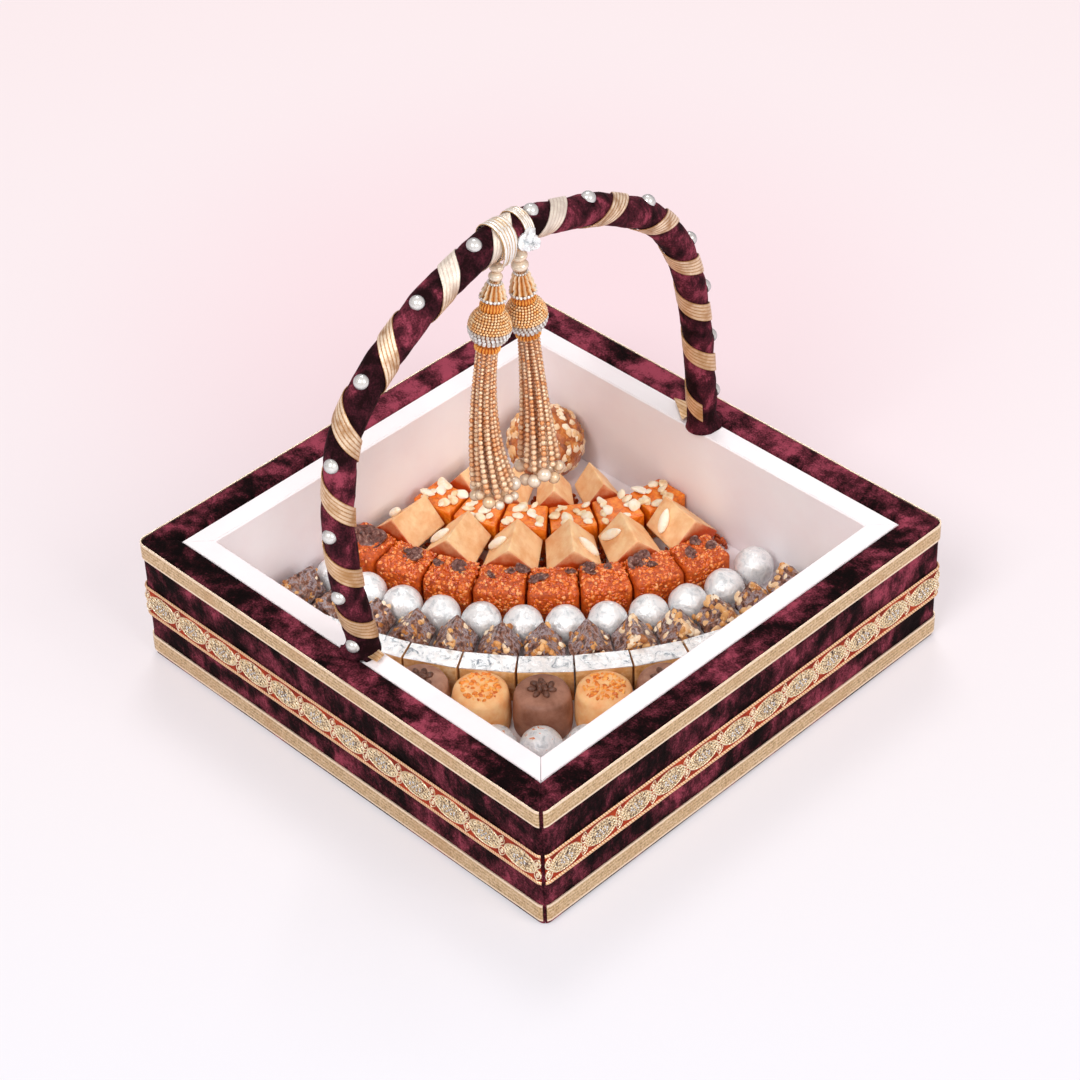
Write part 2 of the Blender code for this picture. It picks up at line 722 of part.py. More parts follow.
def add_round_row(name, radius, half_width, height, angles, material):
    """A row of domed round sweets that touch at their sides."""
    rings = []
    for degrees in angles:
        centre, outward, sideways = fan_frame(radius, degrees)
        for offset, reach in round_stations(half_width, 0.96):
            dome = reach / half_width
            shoulder, top = 0.62 * height * (0.5 + 0.5 * dome), height * (0.72 + 0.28 * dome)
            top = shoulder + (top - shoulder) * dome
            section = [(-0.9, 0), (-1, 0.25 * shoulder), (-1, 0.8 * shoulder), (-0.72, 0.9 * top),
                       (0, top), (0.72, 0.9 * top), (1, 0.8 * shoulder), (1, 0.25 * shoulder), (0.9, 0)]
            rings.append([
                centre + offset * sideways + reach * share * outward + Vector((0, 0, SWEETS_BASE + z))
                for share, z in section
            ])
    return place(name, loft(rings), material, smooth_angle=60)


def spaced(count, pitch, middle=FAN_MIDDLE):
    """Angles of a row of sweets, even about a middle one, in degrees."""
    first = middle - pitch * (count - 1) / 2
    return [first + pitch * number for number in range(count)]


def add_laddoo(material):
    """The large round ball in the corner, flat where it stands."""
    ball = 23 * MM
    centre = FAN_CENTRE + Vector((22 * MM, -27.5 * MM, SWEETS_BASE + 0.97 * ball))
    rings = []
    for degrees in (-76, -50, -25, 0, 25, 50, 72):
        angle = math.radians(degrees)
        middle = centre + Vector((0, 0, ball * math.sin(angle)))
        rings.append(circle_ring(middle, ball * math.cos(angle), Vector((1, 0, 0)),
                                 Vector((0, 1, 0)), 16))
    place("laddoo", loft(rings), material, smooth_angle=60)


def build_sweets(colours):
    """The fan of sweets, row by row from the back left corner."""
    add_laddoo(colours["nut"])
    add_block_row("inner_burfi_row", 77 * MM, 24 * MM, 29 * MM, spaced(4, 18.4, 53.6), 0.5,
                  colours["burfi"], ridge=True)
    add_block_row("nut_square_row", 102.3 * MM, 21.4 * MM, 21 * MM, spaced(6, 14.6), 0.8,
                  colours["orange"])
    add_block_row("outer_burfi_row", 129.6 * MM, 30 * MM, 30 * MM, spaced(6, 14.4, 47.6), 0.6,
                  colours["burfi"], ridge=True)
    add_block_row("motichoor_row", 158.4 * MM, 24 * MM, 22 * MM, spaced(8, 10.2, 50.3), 1,
                  colours["rust"])
    silver_balls = [(177.5 * MM, 6.3), (182.8 * MM, 14.1)]
    silver_balls += [(184.3 * MM, degrees) for degrees in spaced(10, 7.2, 53.9)]
    add_ball_row("silver_ball_row", 11.5 * MM, silver_balls, colours["silver"])
    add_block_row("date_nut_row", 208 * MM, 21 * MM, 27 * MM, spaced(13, 6.8), 1,
                  colours["date"], ridge=True)
    add_block_row("silver_bar_row", 227 * MM, 13 * MM, 21 * MM, spaced(11, 7.7, 46.2), 1,
                  colours["silver"])
    add_round_row("peda_row", 252 * MM, 16.5 * MM, 26 * MM, spaced(5, 7.45), colours["peda"])
    front_balls = [(282.3 * MM, degrees) for degrees in spaced(5, 4.87)]
    add_ball_row("front_ball_row", 12.1 * MM, front_balls, colours["silver"])


def main():
    """Build the whole gift tray."""
    clear_scene()
    velvet = make_material("velvet", (0.16, 0.03, 0.06), 0.75)
    board = make_material("fibreboard", (0.42, 0.29, 0.18), 0.8)
    foam = make_material("foam_card", (0.9, 0.9, 0.88), 0.6)
    lining = make_material("base_fabric", (0.05, 0.02, 0.03), 0.9)
    gold = make_material("gota_ribbon", (0.65, 0.5, 0.29), 0.4, 0.6)
    lace = make_material("zari_lace", (0.55, 0.3, 0.12), 0.5, 0.4)
    cane = make_material("cane", (0.55, 0.4, 0.22), 0.6)
    pearl = make_material("pearl", (0.85, 0.85, 0.83), 0.2)
    bead = make_material("gold_bead", (0.75, 0.5, 0.28), 0.25, 1.0)
    orange = make_material("orange_beadwork", (0.75, 0.35, 0.1), 0.45)
    sweets = {
        "nut": make_material("nut_laddoo", (0.35, 0.2, 0.12), 0.7),
        "burfi": make_material("burfi", (0.75, 0.42, 0.2), 0.6),
        "orange": make_material("orange_square", (0.85, 0.3, 0.05), 0.5),
        "rust": make_material("motichoor", (0.6, 0.13, 0.02), 0.45),
        "silver": make_material("silver_leaf", (0.82, 0.83, 0.84), 0.35, 0.5),
        "date": make_material("date_nut", (0.12, 0.07, 0.05), 0.6),
        "peda": make_material("peda", (0.5, 0.25, 0.13), 0.6),
    }
    arch = Arch(ARCH_POINTS)
    build_tray(velvet, board, foam, lining, gold, lace)
    build_handle(arch, velvet, cane, gold, pearl)
    build_tassels(gold, bead, orange, bead)
    build_sweets(sweets)


main()
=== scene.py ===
"""Looks of the festive gift tray: crushed velvet walls with gold trims, an arched handle wound
with ribbon and set with half pearls, two bead tassels, and a fan of sweets.

Everything is in metres in the part's own frame: the tray stands on z = 0, the handle's arch
stands in the plane x = 0, and the sweets lie in arcs about a point by the corner (-X, +Y).
"""

import logging
import math
import random
from collections.abc import Callable, Iterable, Sequence
from dataclasses import dataclass, field
from enum import Enum
from functools import partial

import bmesh
import bpy
from mathutils import Matrix, Vector, noise


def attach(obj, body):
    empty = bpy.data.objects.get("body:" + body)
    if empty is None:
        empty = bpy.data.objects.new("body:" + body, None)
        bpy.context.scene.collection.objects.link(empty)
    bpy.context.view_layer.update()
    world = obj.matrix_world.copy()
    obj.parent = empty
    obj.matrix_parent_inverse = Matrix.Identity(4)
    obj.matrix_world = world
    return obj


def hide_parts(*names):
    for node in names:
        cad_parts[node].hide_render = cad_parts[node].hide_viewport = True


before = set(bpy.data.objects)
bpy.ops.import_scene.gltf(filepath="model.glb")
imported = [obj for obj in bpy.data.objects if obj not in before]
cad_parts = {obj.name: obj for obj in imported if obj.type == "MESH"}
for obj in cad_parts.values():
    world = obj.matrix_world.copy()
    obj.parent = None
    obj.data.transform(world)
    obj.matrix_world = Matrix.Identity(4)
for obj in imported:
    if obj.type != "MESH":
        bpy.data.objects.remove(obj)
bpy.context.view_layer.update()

MM = 0.001
LOG = logging.getLogger("gift_tray")

Piece = bpy.types.Object
Node = bpy.types.Node
Socket = bpy.types.NodeSocket
Tree = bpy.types.NodeTree
Places = list[tuple[Matrix, float]]
Stops = Sequence[tuple[float, str]]
Adder = Callable[..., Socket]


def linear(code: str) -> tuple[float, float, float, float]:
    """Linear colour of an sRGB hex code.

    Args:
        code: six hex digits after a #.

    Returns:
        Red, green, blue and an alpha of 1.
    """
    shares = [int(code[i:i + 2], 16) / 255 for i in (1, 3, 5)]
    channels = [c / 12.92 if c <= 0.04045 else ((c + 0.055) / 1.055) ** 2.4 for c in shares]
    return (*channels, 1.0)


def per_metre(size_mm: float) -> float:
    """Texture scale at which one feature is size_mm across."""
    return 1000 / size_mm


def connect(node: Node, inputs: dict[str | int, object]) -> None:
    """Link sockets to a node's inputs, and set its other inputs to plain values.

    Args:
        node: the node.
        inputs: output sockets or values by input name or number.
    """
    for key, value in inputs.items():
        if isinstance(value, Socket):
            node.id_data.links.new(value, node.inputs[key])
        else:
            node.inputs[key].default_value = value


def add_node(tree: Tree, kind: str, inputs: dict[str | int, object] | None = None, stops: Stops = (),
        give: str = "", **settings: object) -> Socket:
    """Add a shader node with its settings and links.

    Args:
        tree: node tree that it goes into.
        kind: the node's type, without the leading ShaderNode.
        inputs: output sockets or values by input name or number.
        stops: a colour ramp's positions and hex colours.
        give: the output that is wanted, where it isn't the first one in use.
        settings: the node's own properties.

    Returns:
        The new node's output.
    """
    node = tree.nodes.new("ShaderNode" + kind)
    for name, value in settings.items():
        setattr(node, name, value)
    connect(node, inputs or {})
    if stops:
        ramp = node.color_ramp.elements
        while len(ramp) < len(stops):
            ramp.new(1.0)
        for element, (position, code) in zip(ramp, stops):
            element.position = position
            element.color = linear(code)
    return node.outputs[give] if give else next(out for out in node.outputs if out.enabled)


# Finishes


@dataclass(frozen=True)
class Finish:
    """A finish by name. A subclass says what it is made of."""

    name: str

    def build(self) -> bpy.types.Material:
        """Make the material, or return the one already made.

        Returns:
            The material of this finish.
        """
        made = bpy.data.materials.get(self.name)
        if made is not None:
            return made
        material = bpy.data.materials.new(self.name)
        material.use_nodes = True
        add = partial(add_node, material.node_tree)
        inputs = self.dress(add, add("TexCoord", give="Object"))
        connect(material.node_tree.nodes["Principled BSDF"], inputs)
        return material

    def dress(self, add: Adder, place: Socket) -> dict[str, object]:
        """Make the patterns of this finish.

        Args:
            add: adds a node.
            place: the place on the object.

        Returns:
            Sockets and values for the shader's own inputs.
        """
        raise NotImplementedError


@dataclass(frozen=True)
class Mottled(Finish):
    """A surface with soft patches of colour and a fine grain, from sizes in millimetres."""

    stops: Stops
    patch_mm: float
    grain_mm: float = 1.0
    grain_depth_mm: float = 0.1
    roughness: float = 0.5
    detail: float = 4.0
    tone_share: float = 0.0
    lump_mm: float = 5.0
    lump_depth_mm: float = 0.0
    specular: float = 0.5
    coat: float = 0.0
    under_skin: float = 0.0
    under_skin_colour: str = "#ffb080"
    sheen: float = 0.0

    def dress(self, add: Adder, place: Socket) -> dict[str, object]:
        """Patches of colour, grain, lumps and gloss.

        Args:
            add: adds a node.
            place: the place on the object.

        Returns:
            The shader's inputs.
        """
        share = add("TexNoise", {"Vector": place, "Scale": per_metre(self.patch_mm),
            "Detail": self.detail, "Roughness": 0.6})
        if self.tone_share > 0:
            tone = add("Attribute", give="Fac", attribute_name="tone")
            share = add("Mix", {0: self.tone_share, 2: share, 3: tone})
        grain = add("TexNoise", {"Vector": place, "Scale": per_metre(self.grain_mm)})
        relief = add("Bump", {"Height": grain, "Distance": self.grain_depth_mm * MM, "Strength": 0.8})
        if self.lump_depth_mm > 0:
            lumps = add("TexNoise", {"Vector": place, "Scale": per_metre(self.lump_mm), "Detail": 3.0})
            relief = add("Bump", {"Height": lumps, "Distance": self.lump_depth_mm * MM, "Strength": 1.0,
                "Normal": relief})
        values = {"Base Color": add("ValToRGB", {"Fac": share}, self.stops), "Normal": relief,
            "Roughness": self.roughness, "Specular IOR Level": self.specular, "Sheen Weight": self.sheen,
            "Coat Weight": self.coat, "Coat Roughness": 0.2}
        if self.under_skin > 0:
            values |= {"Subsurface Weight": self.under_skin, "Subsurface Scale": 2 * MM,
                "Subsurface Radius": linear(self.under_skin_colour)[:3]}
        return values


@dataclass(frozen=True)
class CrushedVelvet(Finish):
    """Wine velvet whose pile lies in patches, so that it turns from near black to rose."""

    patch_mm: float = 24.0
    fold_mm: float = 9.0
    # How much rosier the two far walls are painted, as a painted sheen
    painted_far_sheen: float = 0.0
    deep: str = "#080102"
    dark: str = "#1f070b"

    def dress(self, add: Adder, place: Socket) -> dict[str, object]:
        """Large patches mixed with short streaks, with sheen and pile.

        Args:
            add: adds a node.
            place: the place on the object.

        Returns:
            The shader's inputs.
        """
        patches = add("TexNoise", {"Vector": place, "Scale": per_metre(self.patch_mm), "Distortion": 0.6})
        upright = add("Mapping", {"Vector": place, "Scale": (1.0, 1.0, 0.5)})
        streaks = add("TexNoise", {"Vector": upright, "Scale": per_metre(6), "Detail": 5.0,
            "Roughness": 0.65, "Distortion": 0.3})
        fibres = add("TexNoise", {"Vector": place, "Scale": per_metre(1), "Detail": 3.0,
            "Roughness": 0.7})
        lie = add("Mix", {0: 0.4, 2: patches, 3: streaks})
        lie = add("Mix", {0: 0.24, 2: lie, 3: fibres})
        if self.painted_far_sheen > 0:
            # Painted sheen: the two far walls are lifted rosier, as where light catches the pile
            back = add("VectorMath", {0: place, 1: (-0.7, 0.7, 0.0)}, operation="DOT_PRODUCT")
            lift = add("MapRange", {"Value": back, "From Max": 0.07, "To Max": self.painted_far_sheen})
            lie = add("Math", {0: lie, 1: lift}, operation="ADD")
        colour = add("ValToRGB", {"Fac": lie}, ((0.42, self.deep), (0.475, self.dark), (0.535, "#54202b"),
            (0.62, "#9c4255")))
        folds = add("TexNoise", {"Vector": place, "Scale": per_metre(self.fold_mm), "Detail": 3.0,
            "Distortion": 1.2})
        relief = None
        for height, depth_mm in ((fibres, 0.35), (folds, 1.3)):
            under = {"Normal": relief} if relief else {}
            relief = add("Bump", {"Height": height, "Distance": depth_mm * MM, "Strength": 0.8, **under})
        return {"Base Color": colour, "Normal": relief, "Roughness": 0.85, "Specular IOR Level": 0.08,
            "Sheen Weight": 0.06, "Sheen Roughness": 0.3, "Sheen Tint": linear("#d9869a")}


@dataclass(frozen=True)
class MetallicRibbon(Finish):
    """Champagne ribbon woven with flat metal thread: thin lines, grain, small glints and painted
    reflections, sheen and shade.
    """

    edge: str
    body: str
    groove: str
    # Colour of the worn patches and of the painted reflections
    stain: str
    rib_share: float
    rib_count: int = 5
    selvedge: float = 0.0
    grain_mm: float = 0.9
    wear_and_glint_mm: float = 8.0
    wear_and_glint_from: float = 0.52
    wear_and_glint_share: float = 0.45
    # How far the ribbon is painted darker towards the handle's feet, as shade, and paler over its top, as
    # sheen
    painted_low_shade: float = 0.0
    painted_top_sheen: float = 0.0

    def dress(self, add: Adder, place: Socket) -> dict[str, object]:
        """Colour across the ribbon from its UV map, glints from its threads, and painted reflection,
        sheen and shade in patches and by height.

        Args:
            add: adds a node.
            place: the place on the object.

        Returns:
            The shader's inputs.
        """
        along = add("TexCoord", give="UV")
        across = add("SeparateXYZ", {"Vector": along}, give="Y")
        phase = add("Math", {0: across, 1: self.rib_count * 2 * math.pi}, operation="MULTIPLY")
        ribs = add("Math", {0: phase}, operation="COSINE")
        ribs = add("MapRange", {"Value": ribs, "To Min": 1.0, "To Max": 0.0})
        # Threads are 0.4 mm apart on the real ribbon, and drawn coarser so that they show
        threads = add("TexNoise", {"Vector": place, "Scale": per_metre(self.grain_mm), "Detail": 3.0,
            "Roughness": 0.75})
        share = add("Mix", {0: self.rib_share, 2: threads, 3: ribs})
        colour = add("ValToRGB", {"Fac": share},
            ((0.3, self.groove), (0.52, self.body), (0.8, self.edge)))
        wear_and_glints = add("TexNoise", {"Vector": place, "Scale": per_metre(self.wear_and_glint_mm), "Detail": 5.0})
        height = add("SeparateXYZ", {"Vector": place}, give="Z")
        off = add("Math", {0: across, 1: 0.5}, operation="SUBTRACT")
        off = add("Math", {0: off}, operation="ABSOLUTE")
        # Wear and painted golden-brown reflections in patches, painted shade towards the handle's feet, a
        # painted sheen over its top, bright edges
        layers = ((wear_and_glints, self.wear_and_glint_from, self.wear_and_glint_from + 0.2, self.wear_and_glint_share, self.stain),
            (height, 0.25, 0.14, self.painted_low_shade, "#cc995c"),
            (height, 0.264, 0.276, self.painted_top_sheen, "#fffaf2"),
            (off, 0.48 - self.selvedge, 0.5 - self.selvedge, float(self.selvedge > 0), self.edge))
        for value, start, full, most, tone in layers:
            if most > 0:
                share = add("MapRange", {"Value": value, "From Min": start, "From Max": full,
                    "To Max": most})
                colour = add("Mix", {0: share, 6: colour, 7: linear(tone)}, data_type="RGBA")
        relief = add("Bump", {"Height": threads, "Distance": 0.35 * MM, "Strength": 0.8})
        return {"Base Color": colour, "Normal": relief, "Metallic": 0.45, "Roughness": 0.36}


@dataclass(frozen=True)
class Thread(Finish):
    """Metal-wrapped embroidery cord: a twist of bright and dark across each strand."""

    bright: str
    dark: str

    def dress(self, add: Adder, place: Socket) -> dict[str, object]:
        """Fine slanting twist, one turn in 0.9 mm, with a metal gloss.

        Args:
            add: adds a node.
            place: the place on the object.

        Returns:
            The shader's inputs.
        """
        # A wave texture has a band every 0.314 units at scale 1
        twist = add("TexWave", {"Vector": place, "Scale": 0.314 * per_metre(0.9), "Distortion": 1.0,
            "Detail Scale": 2.0}, give="Fac", bands_direction="DIAGONAL")
        colour = add("ValToRGB", {"Fac": twist},
            ((0.05, self.dark), (0.45, self.bright), (1.0, self.bright)))
        relief = add("Bump", {"Height": twist, "Distance": 0.15 * MM, "Strength": 0.6})
        return {"Base Color": colour, "Normal": relief, "Metallic": 0.45, "Roughness": 0.38}


@dataclass(frozen=True)
class Filigree(Finish):
    """Pale gold thread couched in close scrolls: small bright cells with brown gaps."""

    cell_mm: float
    bright: str
    thread: str
    gap: str

    def dress(self, add: Adder, place: Socket) -> dict[str, object]:
        """Cells of thread with dark gaps as colour and as relief.

        Args:
            add: adds a node.
            place: the place on the object.

        Returns:
            The shader's inputs.
        """
        cells = add("TexVoronoi", {"Vector": place, "Scale": per_metre(self.cell_mm), "Randomness": 0.9},
            give="Distance", feature="DISTANCE_TO_EDGE")
        colour = add("ValToRGB", {"Fac": cells},
            ((0.03, self.gap), (0.13, self.thread), (0.34, self.bright)))
        relief = add("Bump", {"Height": cells, "Distance": 0.8 * MM, "Strength": 0.8})
        return {"Base Color": colour, "Normal": relief, "Metallic": 0.3, "Roughness": 0.38}


@dataclass(frozen=True)
class Pleats(Finish):
    """Thread or braid gathered in pleats: painted pale light on the crests and painted deep-coloured
    shade in the folds round a piece.
    """

    count: int
    painted_crest_light: str
    flank: str
    fold: str

    def dress(self, add: Adder, place: Socket) -> dict[str, object]:
        """Painted light and shade round the piece from its UV map, broken up by loose thread ends.

        Args:
            add: adds a node.
            place: the place on the object.

        Returns:
            The shader's inputs.
        """
        along = add("TexCoord", give="UV")
        around = add("SeparateXYZ", {"Vector": along}, give="Y")
        # One wave to a pleat: painted light on its crest, painted shade in its fold
        phase = add("Math", {0: around, 1: self.count * 2 * math.pi}, operation="MULTIPLY")
        painted_pleat_light = add("Math", {0: phase}, operation="COSINE")
        painted_pleat_light = add("MapRange", {"Value": painted_pleat_light, "From Min": -1.0})
        ends = add("TexNoise", {"Vector": place, "Scale": per_metre(1.3), "Detail": 4.0,
            "Roughness": 0.7})
        share = add("Mix", {0: 0.5, 2: painted_pleat_light, 3: ends})
        colour = add("ValToRGB", {"Fac": share},
            ((0.25, self.fold), (0.48, self.flank), (0.72, self.painted_crest_light)))
        relief = add("Bump", {"Height": ends, "Distance": 0.4 * MM, "Strength": 0.8})
        return {"Base Color": colour, "Normal": relief, "Metallic": 0.25, "Roughness": 0.36}


@dataclass(frozen=True)
class Pearl(Finish):
    """Moulded pearl lacquer: silvery white, with painted grey shade towards its rim."""

    def dress(self, add: Adder, place: Socket) -> dict[str, object]:
        """Painted shade darker on the rim than on the face, soft cloudiness, and a clear coat.

        Args:
            add: adds a node.
            place: the place on the object.

        Returns:
            The shader's inputs.
        """
        # Painted shade: greyer where the pearl turns away from the eye
        facing = add("LayerWeight", {"Blend": 0.35}, give="Facing")
        clouds = add("TexNoise", {"Vector": place, "Scale": per_metre(4)})
        share = add("Mix", {0: 0.3, 2: facing, 3: clouds})
        colour = add("ValToRGB", {"Fac": share}, ((0.15, "#e9e7e3"), (0.4, "#cbc9c8"), (0.65, "#7f878a")))
        return {"Base Color": colour, "Metallic": 0.3, "Roughness": 0.22, "Coat Weight": 0.8,
            "Coat Roughness": 0.08}


@dataclass(frozen=True)
class MetalBead(Finish):
    """Plastic bead with a thin vacuum-metallised skin: bright face, a painted dark reflection on its rim,
    uneven gloss.
    """

    bright: str
    dull: str
    # Colour of the painted reflection on the rim
    rim: str
    painted_rim_share: float
    roughness: float
    metallic: float

    def dress(self, add: Adder, place: Socket) -> dict[str, object]:
        """Tone from bead to bead, and a painted dark reflection where the bead turns away from the eye.

        Args:
            add: adds a node.
            place: the place on the object.

        Returns:
            The shader's inputs.
        """
        cloud = add("TexNoise", {"Vector": place, "Scale": per_metre(3)})
        tone = add("Attribute", give="Fac", attribute_name="tone")
        share = add("Mix", {0: 0.5, 2: cloud, 3: tone})
        colour = add("ValToRGB", {"Fac": share}, ((0.25, self.dull), (0.7, self.bright)))
        # Painted reflection: the rim colour, where the bead turns away from the eye
        turned = add("LayerWeight", {"Blend": 0.4}, give="Facing")
        edge = add("MapRange", {"Value": turned, "From Min": 0.15, "From Max": 0.75,
            "To Max": self.painted_rim_share})
        colour = add("Mix", {0: edge, 6: colour, 7: linear(self.rim)}, data_type="RGBA")
        gloss = add("MapRange", {"Value": cloud, "To Min": self.roughness * 0.6,
            "To Max": self.roughness * 1.5})
        return {"Base Color": colour, "Roughness": gloss, "Metallic": self.metallic, "Coat Weight": 0.9,
            "Coat Roughness": 0.06}


@dataclass(frozen=True)
class SilverLeaf(Finish):
    """Edible silver leaf pressed on a moist sweet: crinkled, torn in places, half matt, with painted
    white highlights and painted grey reflections.
    """

    under: str
    tear: float
    crinkle_mm: float
    # Grey of the leaf's painted shade and reflection
    shade: str = "#ccd1d4"
    metallic: float = 0.3

    def dress(self, add: Adder, place: Socket) -> dict[str, object]:
        """Leaf over the sweet, painted white and grey in patches as highlight and reflection, with
        creases as relief and tears that show what is under it.

        Args:
            add: adds a node.
            place: the place on the object.

        Returns:
            The shader's inputs.
        """
        creases = add("TexVoronoi", {"Vector": place, "Scale": per_metre(self.crinkle_mm),
            "Randomness": 1.0}, give="Distance", feature="DISTANCE_TO_EDGE")
        clouds = add("TexNoise", {"Vector": place, "Scale": per_metre(5), "Detail": 6.0, "Roughness": 0.7,
            "Distortion": 0.8})
        # Painted highlight and reflection: grey to white in patches
        leaf = add("ValToRGB", {"Fac": clouds},
            ((0.34, self.shade), (0.45, "#eef1f3"), (0.55, "#ffffff")))
        torn = add("MapRange", {"Value": clouds, "From Min": self.tear, "From Max": self.tear + 0.04})
        colour = add("Mix", {0: torn, 6: leaf, 7: linear(self.under)}, data_type="RGBA")
        shine = add("MapRange", {"Value": torn, "To Min": self.metallic, "To Max": 0.0})
        sharp = add("Bump", {"Height": creases, "Distance": 0.5 * MM, "Strength": 0.6})
        relief = add("Bump", {"Height": clouds, "Distance": 0.9 * MM, "Strength": 0.8, "Normal": sharp})
        return {"Base Color": colour, "Normal": relief, "Metallic": shine, "Roughness": 0.28}


@dataclass(frozen=True)
class MilkFudge(Finish):
    """Cut milk fudge: pale peach, faintly grainy, its outer ends orange: partly stained by the row in
    front, partly painted shade and reflection from it.
    """

    def dress(self, add: Adder, place: Socket) -> dict[str, object]:
        """Cloudy peach, orange low on the faces that look away from the fan's centre: a stain and painted
        shade from the next row.

        Args:
            add: adds a node.
            place: the place on the object.

        Returns:
            The shader's inputs.
        """
        clouds = add("TexNoise", {"Vector": place, "Scale": per_metre(9), "Detail": 5.0,
            "Roughness": 0.6})
        body = add("ValToRGB", {"Fac": clouds}, ((0.35, "#f0b67e"), (0.6, "#fdd5a2")))
        # Orange low on the outward faces: partly a stain, partly painted shade and reflection from the
        # row in front
        height = add("SeparateXYZ", {"Vector": place}, give="Z")
        ragged = add("Math", {0: clouds, 1: 16 * MM, 2: height}, operation="MULTIPLY_ADD")
        low = add("MapRange", {"Value": ragged, "From Min": 38 * MM, "From Max": 52 * MM, "To Min": 1.0,
            "To Max": 0.0})
        away = add("VectorMath", {0: place, 1: FAN_CENTRE}, operation="SUBTRACT")
        away = add("VectorMath", {0: away, 1: (1.0, 1.0, 0.0)}, operation="MULTIPLY")
        away = add("VectorMath", {0: away}, operation="NORMALIZE")
        normal = add("NewGeometry", give="Normal")
        away = add("VectorMath", {0: away, 1: normal}, operation="DOT_PRODUCT")
        away = add("MapRange", {"Value": away, "From Min": 0.1, "From Max": 0.6, "To Min": 0.12})
        share = add("Math", {0: low, 1: away}, operation="MULTIPLY")
        colour = add("Mix", {0: share, 6: body, 7: linear("#c2440a")}, data_type="RGBA")
        grain = add("TexNoise", {"Vector": place, "Scale": per_metre(1.2), "Detail": 4.0})
        relief = add("Bump", {"Height": grain, "Distance": 0.25 * MM, "Strength": 0.7})
        return {"Base Color": colour, "Normal": relief, "Roughness": 0.5, "Subsurface Weight": 0.15,
            "Subsurface Scale": 1.5 * MM, "Subsurface Radius": linear("#ffc08a")[:3]}


@dataclass(frozen=True)
class Backdrop(Finish):
    """Plain paper floor: cool white near, pink behind the object, as bright as it is written."""

    blush: str = "#fde4ea"
    own_light: float = 0.42
    shade: float = 0.08

    def dress(self, add: Adder, place: Socket) -> dict[str, object]:
        """Colours blended from front to back, which keep the object's shadow.

        Args:
            add: adds a node.
            place: the place on the object.

        Returns:
            The shader's inputs.
        """
        # Runs from the viewer's side (+X, -Y) of the floor to the far side
        ahead = add("VectorMath", {0: place, 1: (-0.72, 0.69, 0.0)}, operation="DOT_PRODUCT")
        share = add("MapRange", {"Value": ahead, "From Min": -0.3, "From Max": 0.7})
        plain = add("ValToRGB", {"Fac": share}, ((0.0, "#f7f5fb"), (0.18, "#f9f4f8"), (0.4, "#fcf2f6"),
            (1.0, "#fff1f4")))
        off = add("VectorMath", {0: place, 1: (-0.216, 0.207, 0.0)}, operation="DISTANCE")
        near = add("MapRange", {"Value": off, "From Min": 0.04, "From Max": 0.38, "To Min": 1.0,
            "To Max": 0.0}, interpolation_type="SMOOTHSTEP")
        colour = add("Mix", {0: near, 6: plain, 7: linear(self.blush)}, data_type="RGBA")
        dimmed = add("Mix", {0: self.shade, 6: colour, 7: (0.0, 0.0, 0.0, 1.0)}, data_type="RGBA")
        seen = add("LightPath", give="Is Camera Ray")
        for ray in ("Is Glossy Ray", "Is Transmission Ray"):
            seen = add("Math", {0: seen, 1: add("LightPath", give=ray)}, operation="ADD", use_clamp=True)
        glow = add("Emission", {"Color": colour, "Strength": 1.0})
        weight = add("Math", {0: seen, 1: self.own_light}, operation="MULTIPLY")
        nodes = place.id_data.nodes
        shader = nodes["Principled BSDF"].outputs["BSDF"]
        blend = add("MixShader", {0: weight, 1: shader, 2: glow})
        connect(nodes["Material Output"], {"Surface": blend})
        return {"Base Color": dimmed, "Roughness": 0.9, "Specular IOR Level": 0.0}


# Crushed wine velvet of the walls: near black hollows, rosy where the pile catches light, with a painted
# rosier sheen on the two far walls
VELVET = CrushedVelvet("crushed_velvet", painted_far_sheen=0.06)
# The same velvet pulled tight round the handle: smaller patches, and hollows less deep
SLEEVE_VELVET = CrushedVelvet("sleeve_velvet", patch_mm=17, fold_mm=7, deep="#1c080b", dark="#35141c")
# Gota ribbon wound on the handle: pale satin with thin gold lines, painted golden-brown reflections in
# patches, painted shade towards its feet and a painted sheen over its top
GOTA = MetallicRibbon("woven_gota", "#fff0dc", "#efcba4", "#a87044", "#a56f3c", rib_share=0.36,
    wear_and_glint_from=0.46, wear_and_glint_share=0.8, painted_low_shade=0.5, painted_top_sheen=0.55)
# The same gota glued flat on the walls: khaki gold, grainy, with a bright line along each edge and
# patches of wear and painted reflection
WALL_GOTA = MetallicRibbon("wall_gota", "#f8e0c4", "#d3b283", "#7e5c34", "#bd8d58", rib_share=0.1,
    selvedge=0.1, grain_mm=1.1, wear_and_glint_mm=24)
# The broader gold ribbon that the tassel hangs from, painted whiter as where it catches the light, with
# painted reflections in patches
BRIGHT_GOTA = MetallicRibbon("bright_gota", "#ffffff", "#fbf2e6", "#c99e66", "#cfa670", rib_share=0.45,
    wear_and_glint_share=0.7)
# Satin tape under the embroidery: rust, with a close weave
LACE_GROUND = Mottled("rust_satin", ((0.3, "#6e1602"), (0.5, "#982705"), (0.7, "#bc400c")), patch_mm=6,
    grain_mm=0.7, grain_depth_mm=0.15, roughness=0.6, specular=0.2)
# Gold-wrapped embroidery cord: pale, with brown grooves in its twist
GOLD_THREAD = Thread("gold_thread", bright="#fff3d8", dark="#dbb078")
# Peach-gold piping on the lace's two edges
PIPING_THREAD = Thread("piping_thread", bright="#f9d0a8", dark="#c98850")
# Silver-wrapped thread knotted in the middle of each oval
SILVER_THREAD = Thread("silver_thread", bright="#f4f2f4", dark="#8c8a94")
